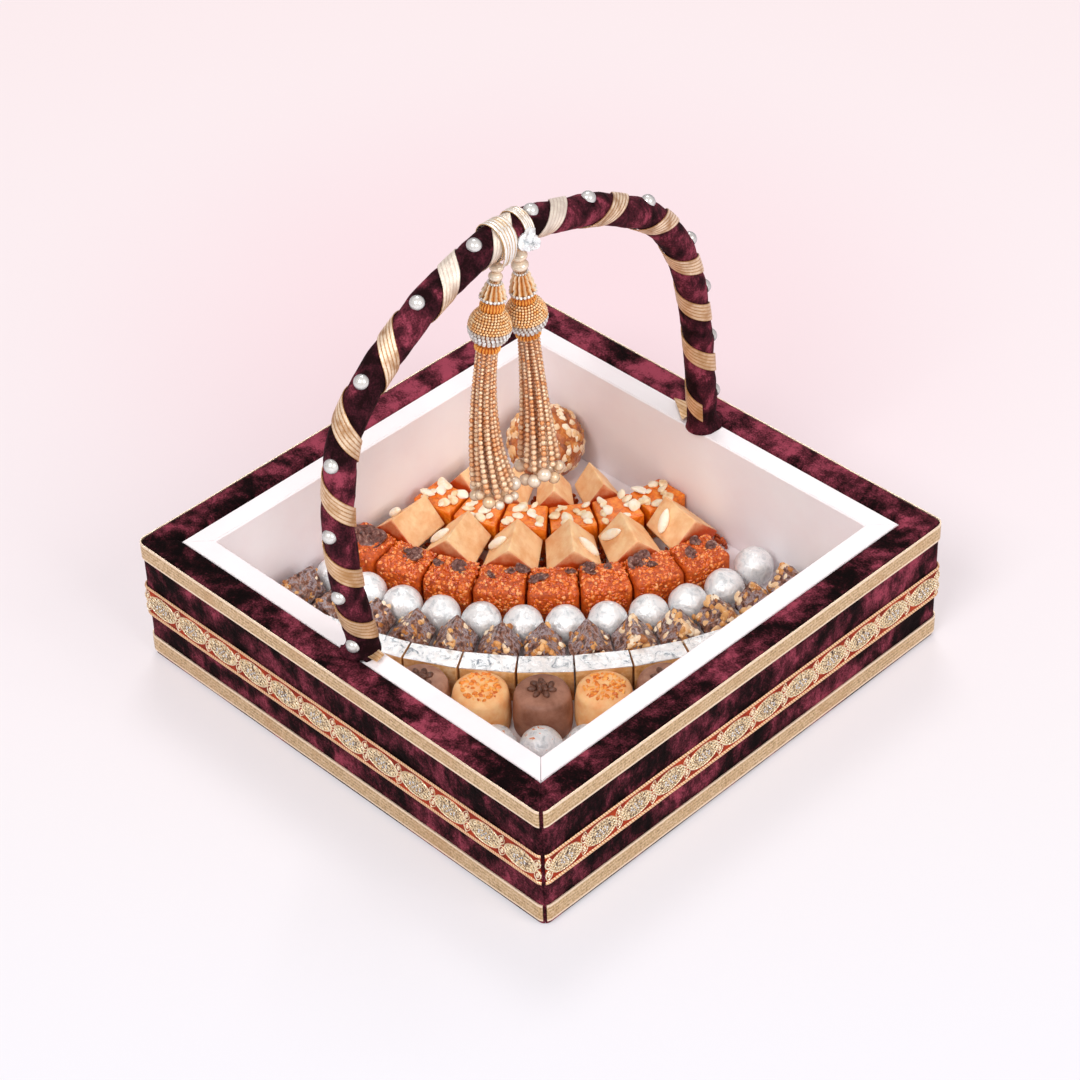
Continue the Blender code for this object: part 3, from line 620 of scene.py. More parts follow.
# Couched gold scrolls that fill each oval
OVAL_FILIGREE = Filigree("couched_filigree", cell_mm=2, bright="#f3e0bc", thread="#d9b98c", gap="#3c1c0e")
# Acrylic half pearl: white lacquer with a soft shift of colour and painted grey shade at its rim
PEARL = Pearl("pearl_lacquer")
# Rose-gold metallised plastic beads of the strands
STRAND_BEAD = MetalBead("rose_gold_bead", "#ffdfb8", "#ee9f5e", "#8a3e0c", painted_rim_share=0.7, roughness=0.18,
    metallic=0.2)
# The larger peach-gold beads of the neck
NECK_BEAD = MetalBead("gold_neck_bead", "#fff0da", "#ffd9ac", "#bd7430", painted_rim_share=0.55, roughness=0.18,
    metallic=0.15)
# Small peach-gold seed beads of the dome
SEED_BEAD = MetalBead("peach_seed_bead", "#ffdfae", "#f5b060", "#b65c14", painted_rim_share=0.55, roughness=0.26,
    metallic=0.25)
# White-gold pearls at the strands' ends: paler than the beads above them
END_PEARL = MetalBead("white_gold_pearl", "#fff0dc", "#f5d2a8", "#9a6028", painted_rim_share=0.6, roughness=0.14,
    metallic=0.2)
# Cut glass stones with foil backs: bright and dark facets side by side, the dark ones a painted
# reflection
CRYSTAL = MetalBead("foiled_crystal", "#ffffff", "#d6cabd", "#75543f", painted_rim_share=0.85, roughness=0.08,
    metallic=0.1)
# Brown thread that the seed beads are sewn on: shows as dark gaps between their rows
UNDER_THREAD = Mottled("under_thread", ((0.3, "#8a4010"), (0.6, "#c06a1e")), patch_mm=2, grain_mm=0.6,
    grain_depth_mm=0.2, roughness=0.7)
# Silver foil cloth of the second tassel's knot: white with painted grey shade in patches, and creases in
# relief
KNOT_FOIL = SilverLeaf("knot_foil", under="#f4ead8", tear=0.7, crinkle_mm=2.6)
# Pleated gold braid of the cap: crests painted paler as light, folds painted orange-brown as shade
CAP_BRAID = Pleats("pleated_braid", count=12, painted_crest_light="#fde8c8", flank="#f0b064", fold="#b06018")
# Orange rayon thread, gathered in small pleats, with painted light on their crests and painted shade in
# their folds
ORANGE_THREAD = Pleats("orange_rayon", count=22, painted_crest_light="#ffbe62", flank="#f08e24", fold="#b04a06")
# Cut milk fudge: peach, its ends orange, partly stained and partly painted shade
BURFI = MilkFudge("milk_fudge")
# Orange nut square: moist sugar-set pulp with a rough cut face
NUT_SQUARE = Mottled("orange_nut_square", ((0.3, "#cc5a04"), (0.5, "#f0790a"), (0.75, "#ffa53c")),
    patch_mm=3, grain_mm=1.1, grain_depth_mm=0.5, roughness=0.42, detail=6, coat=0.25, under_skin=0.1,
    under_skin_colour="#ff9040")
# Blanched nuts: cream with tan edges
NUT_SLICE = Mottled("blanched_nut", ((0.25, "#dba66a"), (0.45, "#f6dcb4"), (0.65, "#fff3df")),
    patch_mm=3.5, grain_mm=0.8, grain_depth_mm=0.12, tone_share=0.35, under_skin=0.2,
    under_skin_colour="#ffe0b0")
# Syrup-soaked gram flour drops: glossy, each its own orange
GRAIN = Mottled("syrup_grains", ((0.1, "#b23c06"), (0.4, "#da5a0c"), (0.7, "#ee7c24"), (0.95, "#ffc080")),
    patch_mm=2.2, grain_mm=0.6, roughness=0.24, tone_share=0.75, coat=0.6)
# The paste between the drops: darker and duller
GRAIN_PASTE = Mottled("grain_paste", ((0.3, "#983204"), (0.6, "#d0580a"), (0.8, "#f08428")), patch_mm=3,
    grain_depth_mm=0.5)
# Dried rose and fruit slices pressed on the grain squares: purple brown with pale flecks
DRIED_SLICE = Mottled("dried_fruit_slice", ((0.32, "#38160f"), (0.48, "#6a3a30"), (0.6, "#8e6258"),
    (0.7, "#d0a890")), patch_mm=2.4, grain_mm=0.9, grain_depth_mm=0.6, roughness=0.42, detail=8,
    lump_mm=2.5, lump_depth_mm=0.8, coat=0.2)
# Silver leaf on round milk sweets
LEAF_BALL = SilverLeaf("silver_leaf_ball", under="#f3e9dc", tear=0.68, crinkle_mm=4)
# Silver leaf on the front balls, torn over an orange sweet
TORN_LEAF = SilverLeaf("torn_leaf_ball", under="#e8842c", tear=0.6, crinkle_mm=4)
# Silver leaf on the tops of cut bars, cracked over the tan sweet, with painted blue-grey reflections
LEAF_BAR = SilverLeaf("silver_leaf_bar", under="#c4a684", tear=0.7, crinkle_mm=3.4, shade="#75828e",
    metallic=0.4)
# Sides of the bars: tan nut paste
BAR_SIDE = Mottled("nut_paste", ((0.3, "#bd7e42"), (0.5, "#e0aa6c"), (0.75, "#f8d8ac")), patch_mm=6,
    grain_depth_mm=0.3, detail=5)
# Date paste: sticky brown, with purple-grey patches and rust spots
DATE_PASTE = Mottled("date_paste", ((0.32, "#2c1818"), (0.42, "#683e32"), (0.48, "#9a664c"),
    (0.54, "#a89a9e"), (0.6, "#745250"), (0.66, "#5a3420"), (0.74, "#e09448")), patch_mm=4.2,
    grain_mm=1.3, grain_depth_mm=0.8, roughness=0.34, detail=8, lump_mm=4, lump_depth_mm=1.6, coat=0.45)
# Chopped nuts in the date paste and the large ball: cream hearts, amber and brown skins
NUT_CHUNK = Mottled("chopped_nut", ((0.1, "#8c4a20"), (0.3, "#c98440"), (0.5, "#eab06c"),
    (0.85, "#fff2d8")), patch_mm=2.5, grain_mm=0.7, grain_depth_mm=0.2, roughness=0.34, tone_share=0.65,
    coat=0.3)
# Large nut ball: roasted paste between broken nuts
LADDOO = Mottled("roasted_nut_paste", ((0.3, "#6e300e"), (0.5, "#b45c1c"), (0.7, "#e8923e")), patch_mm=6,
    grain_mm=1.4, grain_depth_mm=0.8, roughness=0.4, detail=6, lump_depth_mm=1.5, coat=0.2)
# Pedas of cooked milk: soft matt skins in three colours
PEDA_PEACH = Mottled("saffron_peda", ((0.35, "#f2a868"), (0.65, "#fcca90")), patch_mm=9,
    grain_depth_mm=0.25, roughness=0.6, under_skin=0.2)
PEDA_CHOCOLATE = Mottled("chocolate_peda", ((0.35, "#84543f"), (0.65, "#a87660")), patch_mm=9,
    grain_depth_mm=0.25, roughness=0.55)
PEDA_BROWN = Mottled("roasted_peda", ((0.35, "#8a5a44"), (0.65, "#b0816a")), patch_mm=9,
    grain_depth_mm=0.3, roughness=0.55)
# Seeds pressed into the brown pedas: darker than the sweet round them
SEED = Mottled("pressed_seed", ((0.3, "#4a2a1e"), (0.7, "#754a38")), patch_mm=2, grain_mm=0.8,
    grain_depth_mm=0.15, roughness=0.45)
# Chopped candied peel with saffron on the peach pedas
SAFFRON = Mottled("candied_peel", ((0.1, "#c9560a"), (0.5, "#f08a1e"), (0.9, "#ffc46a")), patch_mm=2,
    grain_mm=0.6, grain_depth_mm=0.2, roughness=0.35, tone_share=0.6, coat=0.3)
# Closed-cell foam card: white with a faint grain
FOAM = Mottled("white_foam", ((0.3, "#fbf1f4"), (0.7, "#fffafc")), patch_mm=40, grain_mm=0.9,
    grain_depth_mm=0.08, roughness=0.75)
# Pressed wood fibre: brown, with short fibres
FIBREBOARD = Mottled("fibreboard", ((0.3, "#7a5836"), (0.7, "#a68256")), patch_mm=4, grain_mm=0.8,
    grain_depth_mm=0.2, roughness=0.85, detail=8)
# Plain woven lining under the base
BASE_CLOTH = Mottled("base_cloth", ((0.3, "#1b0a10"), (0.7, "#35141f")), patch_mm=3, grain_mm=0.7,
    grain_depth_mm=0.25, roughness=0.9, sheen=0.2)
# Peeled cane: pale straw with long fibres
CANE = Mottled("peeled_cane", ((0.3, "#a07c46"), (0.7, "#cfae74")), patch_mm=5, grain_mm=0.8,
    grain_depth_mm=0.15, roughness=0.6)
# Matt paper roll of the photographer's floor
PAPER = Backdrop("paper_floor")


# Bench work


class Bench:
    """Selection, edit mode and modifier steps that the pieces share."""

    def clear(self) -> None:
        """Leave edit mode and deselect everything."""
        if bpy.context.mode != "OBJECT":
            bpy.ops.object.mode_set(mode="OBJECT")
        bpy.ops.object.select_all(action="DESELECT")

    def take(self, obj: Piece) -> None:
        """Make one object selected and active.

        Args:
            obj: the object.
        """
        self.clear()
        obj.select_set(True)
        bpy.context.view_layer.objects.active = obj

    def add(self, name: str, kind: str, **settings: object) -> Piece:
        """Add a primitive and put its place and size into its mesh.

        Args:
            name: the new object's name.
            kind: the primitive, as its operator is called.
            settings: the operator's settings.

        Returns:
            The object, at the origin, unturned and unscaled.
        """
        self.clear()
        getattr(bpy.ops.mesh, f"primitive_{kind}_add")(**settings)
        obj = bpy.context.object
        obj.name = obj.data.name = name
        bpy.ops.object.transform_apply(location=True, rotation=True, scale=True)
        return obj

    def box(self, name: str, size: Sequence[float], at: Sequence[float]) -> Piece:
        """Add a box of a full size about its middle."""
        return self.add(name, "cube", size=1, calc_uvs=False, location=at, scale=size)

    def ball(self, name: str, radii: Sequence[float], segments: int, rings: int) -> Piece:
        """Add a ball or ellipsoid at the origin."""
        return self.add(name, "uv_sphere", radius=1, segments=segments, ring_count=rings, scale=radii)

    def hoop(self, name: str, reach: Sequence[float], wire: float, segments: int, sides: int) -> Piece:
        """Add an oval hoop of round cord in the XY plane.

        Args:
            name: its name.
            reach: half its length along X and half its width along Y, to the cord's middle.
            wire: the cord's radius.
            segments: faces along it.
            sides: faces round the cord.

        Returns:
            The new object.
        """
        obj = self.add(name, "torus", major_radius=reach[0], minor_radius=wire, major_segments=segments,
            minor_segments=sides)
        self.pick(obj, "VERT")
        self.stretch(1, reach[1] / reach[0], 1)
        self.clear()
        return obj

    def pick(self, obj: Piece, kind: str, test: Callable[..., bool] = lambda part: True) -> None:
        """Go into edit mode on an object and select its elements that pass a test.

        Args:
            obj: the object.
            kind: VERT, EDGE or FACE.
            test: says of each element whether it is selected.
        """
        self.take(obj)
        bpy.ops.object.mode_set(mode="EDIT")
        bpy.ops.mesh.select_mode(type=kind)
        bpy.ops.mesh.select_all(action="DESELECT")
        mesh = bmesh.from_edit_mesh(obj.data)
        for element in {"VERT": mesh.verts, "EDGE": mesh.edges, "FACE": mesh.faces}[kind]:
            if test(element):
                element.select_set(True)
        mesh.select_flush_mode()
        bmesh.update_edit_mesh(obj.data)

    def stretch(self, x: float, y: float, z: float) -> None:
        """Scale what is picked about the origin."""
        bpy.ops.transform.resize(value=(x, y, z), center_override=(0, 0, 0))

    def bevel(self, offset: float, segments: int) -> None:
        """Round the picked edges."""
        bpy.ops.mesh.bevel(offset=offset, segments=segments, affect="EDGES")

    def cut(self, obj: Piece, normal: Sequence[float], places: Iterable[Sequence[float]],
            drop: bool = False, fill: bool = False) -> None:
        """Cut an object along parallel planes.

        Args:
            obj: the object.
            normal: the planes' normal.
            places: a point on each plane.
            drop: whether to remove what lies on the normal's side.
            fill: whether to close the cut.
        """
        self.take(obj)
        bpy.ops.object.mode_set(mode="EDIT")
        for place in places:
            bpy.ops.mesh.select_all(action="SELECT")
            bpy.ops.mesh.bisect(plane_co=place, plane_no=normal, clear_outer=drop, use_fill=fill)
        self.clear()

    def modify(self, obj: Piece, kind: str, **settings: object) -> None:
        """Add a modifier of a kind with its settings, and apply it.

        Args:
            obj: the object.
            kind: the modifier's type.
            settings: its properties.
        """
        self.take(obj)
        modifier = obj.modifiers.new(kind.lower(), kind)
        for name, value in settings.items():
            setattr(modifier, name, value)
        bpy.ops.object.modifier_apply(modifier=modifier.name)

    def roughen(self, obj: Piece, size_mm: float, depth_mm: float) -> None:
        """Push a surface in and out by a cloudy texture.

        Args:
            obj: the object.
            size_mm: size of its lumps.
            depth_mm: full height of its lumps.
        """
        texture = bpy.data.textures.new("lumps", "CLOUDS")
        texture.noise_scale = size_mm * MM
        texture.noise_depth = 2
        self.modify(obj, "DISPLACE", texture=texture, texture_coords="LOCAL", strength=depth_mm * MM,
            mid_level=0.5)
        bpy.data.textures.remove(texture)

    def repeat(self, name: str, models: Piece | Sequence[Piece], places: Places) -> Piece:
        """Copy models to many places in turn, as one object, and remove the models.

        Args:
            name: the new object's name.
            models: what is copied: one model, or several that take turns.
            places: where each copy goes, and its tone from 0 to 1.

        Returns:
            The object with all the copies.
        """
        models = [models] if isinstance(models, Piece) else list(models)
        shapes = [([v.co.copy() for v in model.data.vertices],
            [tuple(p.vertices) for p in model.data.polygons]) for model in models]
        points: list[Vector] = []
        faces: list[tuple[int, ...]] = []
        tones: list[float] = []
        for number, (matrix, tone) in enumerate(places):
            corners, sides = shapes[number % len(shapes)]
            base = len(points)
            points += [matrix @ corner for corner in corners]
            tones += [tone] * len(corners)
            faces += [tuple(base + index for index in side) for side in sides]
        obj = self.mesh(name, points, faces)
        obj.data.attributes.new("tone", "FLOAT", "POINT").data.foreach_set("value", tones)
        for model in models:
            bpy.data.objects.remove(model)
        return obj

    def mesh(self, name: str, points: Sequence[Vector], faces: Sequence[Sequence[int]]) -> Piece:
        """Make an object from points and faces.

        Args:
            name: its name.
            points: its corners.
            faces: each face's corners by number.

        Returns:
            The new object.
        """
        self.clear()
        data = bpy.data.meshes.new(name)
        data.from_pydata([tuple(p) for p in points], [], [tuple(f) for f in faces])
        data.validate()
        obj = bpy.data.objects.new(name, data)
        bpy.context.scene.collection.objects.link(obj)
        return obj

    def skin(self, name: str, rings: Sequence[Sequence[Vector]], closed: bool = False,
            caps: bool = True) -> Piece:
        """Make a skin over rings of equally many points, with a UV map along and across it.

        Args:
            name: its name.
            rings: the rings in order, each closed on itself.
            closed: whether the last ring joins the first.
            caps: whether open ends are closed.

        Returns:
            The new object, faces outwards.
        """
        count, rows = len(rings[0]), len(rings)
        faces = []
        for row in range(rows if closed else rows - 1):
            low, high = row * count, (row + 1) % rows * count
            for side in range(count):
                after = (side + 1) % count
                faces.append((low + side, low + after, high + after, high + side))
        if caps and not closed:
            faces += [range(count), range((rows - 1) * count, rows * count)]
        obj = self.mesh(name, [point for ring in rings for point in ring], faces)
        self.face_outwards(obj)
        run = [0.0]
        for before, ring in zip(rings, rings[1:]):
            run.append(run[-1] + (ring[0] - before[0]).length)
        layer = obj.data.uv_layers.new(name="UVMap")
        for polygon in obj.data.polygons:
            sides = [obj.data.loops[i].vertex_index % count for i in polygon.loop_indices]
            wraps = max(sides) - min(sides) > count / 2
            for index, side in zip(polygon.loop_indices, sides):
                corner = obj.data.loops[index].vertex_index
                share = (side + (count if wraps and side < count / 2 else 0)) / count
                layer.data[index].uv = (run[corner // count] * 100, share)
        return obj

    def map_ribbon(self, obj: Piece, rows: int, back: int) -> None:
        """Let V run from edge to edge on both faces of a ribbon's skin.

        Args:
            obj: the skin.
            rows: spaces between the points across its front.
            back: spaces between the points across its back.
        """
        last = rows + back + 1
        layer = obj.data.uv_layers["UVMap"]
        for loop in obj.data.loops:
            side = loop.vertex_index % (last + 1)
            layer.data[loop.index].uv.y = side / rows if side <= rows else (last - side) / back

    def face_outwards(self, obj: Piece) -> None:
        """Turn all faces outwards.

        Args:
            obj: the object.
        """
        self.pick(obj, "FACE")
        bpy.ops.mesh.normals_make_consistent(inside=False)
        self.clear()

    def copy(self, model: Piece, name: str, matrix: Matrix = Matrix()) -> Piece:
        """Copy a model with its own mesh to one place.

        Args:
            model: what is copied.
            name: the copy's name.
            matrix: where it goes.

        Returns:
            The copy, its place in its mesh.
        """
        data = model.data.copy()
        data.name = name
        data.transform(matrix)
        obj = bpy.data.objects.new(name, data)
        bpy.context.scene.collection.objects.link(obj)
        return obj

    def join(self, name: str, parts: Sequence[Piece]) -> Piece:
        """Join objects into the first of them, under a new name.

        Args:
            name: the new name.
            parts: the objects.

        Returns:
            The joined object.
        """
        self.take(parts[0])
        for part in parts[1:]:
            part.select_set(True)
        bpy.ops.object.join()
        parts[0].name = name
        self.clear()
        return parts[0]

    def deliver(self, obj: Piece, finish: Finish, body: str, nodes: Sequence[str] = (),
            smooth: float = 35.0) -> None:
        """Shade, finish and attach a piece, and say so.

        Args:
            obj: the piece.
            finish: its finish.
            body: the body that it rides on.
            nodes: the nodes that it stands for.
            smooth: greatest angle in degrees over which shading stays smooth.
        """
        self.take(obj)
        bpy.ops.object.shade_smooth_by_angle(angle=math.radians(smooth))
        obj.data.materials.clear()
        obj.data.materials.append(finish.build())
        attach(obj, body)
        if nodes:
            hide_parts(*nodes)
        self.clear()
        triangles = sum(len(p.vertices) - 2 for p in obj.data.polygons)
        LOG.info("%s: %s, on %s, %d triangles", obj.name, finish.name, body, triangles)


BENCH = Bench()


# Turns and places


def about(axis: str, degrees: float) -> Matrix:
    """Turn about an axis through the origin, in degrees."""
    return Matrix.Rotation(math.radians(degrees), 4, axis)


def shift(x: float, y: float, z: float) -> Matrix:
    """Move by so much along X, Y and Z."""
    return Matrix.Translation((x, y, z))


def round_z(reach: float, angle: float, z: float = 0.0) -> Vector:
    """Point at a reach and an angle in radians round the Z axis."""
    return Vector((reach * math.cos(angle), reach * math.sin(angle), z))


def turns(count: int, start: float = 0.0) -> list[float]:
    """Evenly spaced angles of one turn in radians, from a share of a step onwards."""
    return [2 * math.pi * (number + start) / count for number in range(count)]


def bounded(value: float, low: float = 0.0, high: float = 1.0) -> float:
    """The value, kept between two bounds."""
    return min(max(value, low), high)


def axes(x: Vector, y: Vector, z: Vector) -> Matrix:
    """Turn that takes X, Y and Z to three directions."""
    return Matrix((x, y, z)).transposed().to_4x4()


def lie_on(frame_matrix: Matrix, point: Vector, normal: Vector, turn: float, size: float,
        sink: float = 0.0) -> Matrix:
    """Place for a small piece that lies on a surface.

    Args:
        frame_matrix: frame that the point and the normal are in.
        point: where it lies.
        normal: the surface's outward direction.
        turn: its turn about the normal in radians.
        size: its scale.
        sink: how far it is sunk into the surface.

    Returns:
        The place as a matrix.
    """
    tilt = normal.to_track_quat("Z", "Y").to_matrix().to_4x4()
    at = Matrix.Translation(point - normal.normalized() * sink)
    return frame_matrix @ at @ tilt @ Matrix.Rotation(turn, 4, "Z") @ Matrix.Scale(size, 4)


# Tray


class Side(Enum):
    """The tray's walls, by the direction that they face."""

    FRONT = (0, -1)
    RIGHT = (1, 0)
    BACK = (0, 1)
    LEFT = (-1, 0)

    @property
    def out(self) -> Vector:
        """Direction that the wall faces."""
        return Vector((*self.value, 0))

    @property
    def along(self) -> Vector:
        """Direction along the wall, to the right as seen from outside."""
        return Vector((-self.value[1], self.value[0], 0))


def rounded_box(name: str, half: float, low: float, high: float, corner: float, segments: int) -> Piece:
    """Make an upright square box about the Z axis with rounded corners.

    Args:
        name: its name.
        half: half its side.
        low: height of its lower face.
        high: height of its upper face.
        corner: radius of its corners.
        segments: faces round a corner.

    Returns:
        The box.
    """
    box = BENCH.box(name, (2 * half, 2 * half, high - low), (0, 0, (high + low) / 2))
    BENCH.pick(box, "EDGE", lambda e: (e.verts[0].co - e.verts[1].co).xy.length < 1e-6)
    BENCH.bevel(corner, segments)
    return box


def divide(obj: Piece, across: Sequence[float], heights: Sequence[float]) -> None:
    """Cut a piece at places along X, the same places along Y, and at heights.

    Args:
        obj: the piece.
        across: the places along X and Y.
        heights: the heights.
    """
    BENCH.cut(obj, (1, 0, 0), [(x, 0, 0) for x in across])
    BENCH.cut(obj, (0, 1, 0), [(0, y, 0) for y in across])
    BENCH.cut(obj, (0, 0, 1), [(0, 0, z) for z in heights])


@dataclass
class VelvetWalls:
    """Velvet glued round the four boards: one wrapped shell, parted at the mitres."""

    half: float = 152.5 * MM
    low: float = 1.3 * MM
    high: float = 80 * MM
    rim: float = 16 * MM
    inner_low: float = 7.9 * MM
    corner: float = 4.5 * MM
    roll: float = 2.2 * MM
    cloth: float = 0.9 * MM
    mesh_step: float = 5 * MM
    mitre_gap: float = 0.15 * MM

    def wrapped_shell(self) -> Piece:
        """Make the outside of all four walls as one open skin.

        Returns:
            The skin, from the hem under the walls over the rim and down inside.
        """
        inner = self.half - self.rim
        shell = rounded_box("velvet_shell", self.half, self.low, self.high, self.corner, 6)
        for sign in (-1, 1):
            divide(shell, [sign * inner], [])

        def inside(face: bmesh.types.BMFace) -> bool:
            """Whether a face lies within the walls."""
            middle = face.calc_center_median()
            return max(abs(middle.x), abs(middle.y)) < inner

        BENCH.pick(shell, "FACE", lambda f: inside(f) and f.normal.z > 0.9)
        bpy.ops.mesh.extrude_region_move(
            TRANSFORM_OT_translate={"value": (0, 0, self.inner_low - self.high)})
        bpy.ops.mesh.delete(type="FACE")
        BENCH.pick(shell, "FACE", lambda f: inside(f) and abs(f.normal.z) > 0.9)
        bpy.ops.mesh.delete(type="FACE")
        near_top = self.high - 1 * MM
        BENCH.pick(shell, "EDGE", lambda e: (len(e.link_faces) == 2 and e.calc_face_angle(0) > 1
            and min(v.co.z for v in e.verts) > near_top))
        BENCH.bevel(self.roll, 4)
        steps = int(2 * self.half / self.mesh_step)
        divide(shell, [-self.half + self.mesh_step * (k + 0.5) for k in range(steps)],
            [self.mesh_step * k for k in range(1, 16)])
        return shell

    def crumple(self, shell: Piece) -> None:
        """Raise the soft rim a little unevenly and press folds into its corners.

        Args:
            shell: the velvet.
        """
        for vertex in shell.data.vertices:
            x, y, z = vertex.co
            swell = noise.noise(vertex.co * 28) * 0.9 + noise.noise(vertex.co * 95) * 0.45
            if z > self.high - 0.3 * MM:
                vertex.co.z += (swell - 0.25) * 0.55 * MM
            if z > self.high - 1.5 * MM:
                corner = max(0.0, 1 - abs(abs(x) - abs(y)) / (7 * MM))
                vertex.co.z -= corner ** 2 * 0.7 * MM
            elif max(abs(x), abs(y)) > 140 * MM:
                wall = 1 - bounded((z - 70 * MM) / (8 * MM))
                vertex.co += 0.12 * MM * swell * Vector((x, y, 0)).normalized() * wall

    def build(self) -> None:
        """Make the four wrapped walls."""
        shell = self.wrapped_shell()
        self.crumple(shell)
        for side in Side:
            name = side.name.lower()
            wall = BENCH.copy(shell, f"velvet_{name}")
            for turn in (side.along, -side.along):
                BENCH.cut(wall, (turn - side.out).normalized(), [side.out * self.mitre_gap], drop=True)
            BENCH.modify(wall, "SOLIDIFY", thickness=self.cloth, offset=-1.0)
            BENCH.deliver(wall, VELVET, "tray", [f"{name}_velvet"], smooth=60)
        bpy.data.objects.remove(shell)


@dataclass
class TrimBand:
    """A ribbon or tape round the walls, whose ends meet at the front corner."""

    name: str
    low: float
    high: float
    thickness: float
    ribs: int
    rib_height: float
    inner: float = 152.8 * MM
    corner: float = 4.8 * MM

    def build(self) -> Piece:
        """Make the band.

        Returns:
            The band, with a UV map along and across it.
        """
        band = rounded_box(self.name, self.inner, self.low, self.high, self.corner, 8)
        BENCH.pick(band, "FACE", lambda f: abs(f.normal.z) > 0.9)
        bpy.ops.mesh.delete(type="ONLY_FACE")
        rows = 4 * self.ribs
        step = (self.high - self.low) / rows
        divide(band, [], [self.low + step * k for k in range(1, rows)])
        for phases, rise in (((2,), self.rib_height), ((1, 3), 0.75 * self.rib_height)):
            BENCH.pick(band, "VERT", lambda v: round((v.co.z - self.low) / step) % 4 in phases)
            grow = 1 + rise / self.inner
            BENCH.stretch(grow, grow, 1)
        divide(band, [self.inner * k / 12 for k in range(-11, 12)], [])
        BENCH.pick(band, "FACE", lambda f: self.at_opening(f.calc_center_median()))
        bpy.ops.mesh.delete(type="FACE")
        BENCH.clear()
        for vertex in band.data.vertices:
            wave = noise.noise(Vector((vertex.co.x * 30, vertex.co.y * 30, 0)))
            vertex.co.z += 0.25 * MM * wave
        layer = band.data.uv_layers.new(name="UVMap")
        for loop in band.data.loops:
            x, y, z = band.data.vertices[loop.vertex_index].co
            run = x if abs(y) > abs(x) else y
            layer.data[loop.index].uv = (run * 100, (z - self.low) / (self.high - self.low))
        BENCH.modify(band, "SOLIDIFY", thickness=self.thickness - self.rib_height, offset=1.0)
        return band

    def at_opening(self, point: Vector) -> bool:
        """Whether a point is in the small gap at the front corner."""
        x, y = point.x - self.inner + self.corner, point.y + self.inner - self.corner
        return x >= 0 >= y and abs(math.degrees(math.atan2(y, x)) + 45) < 11


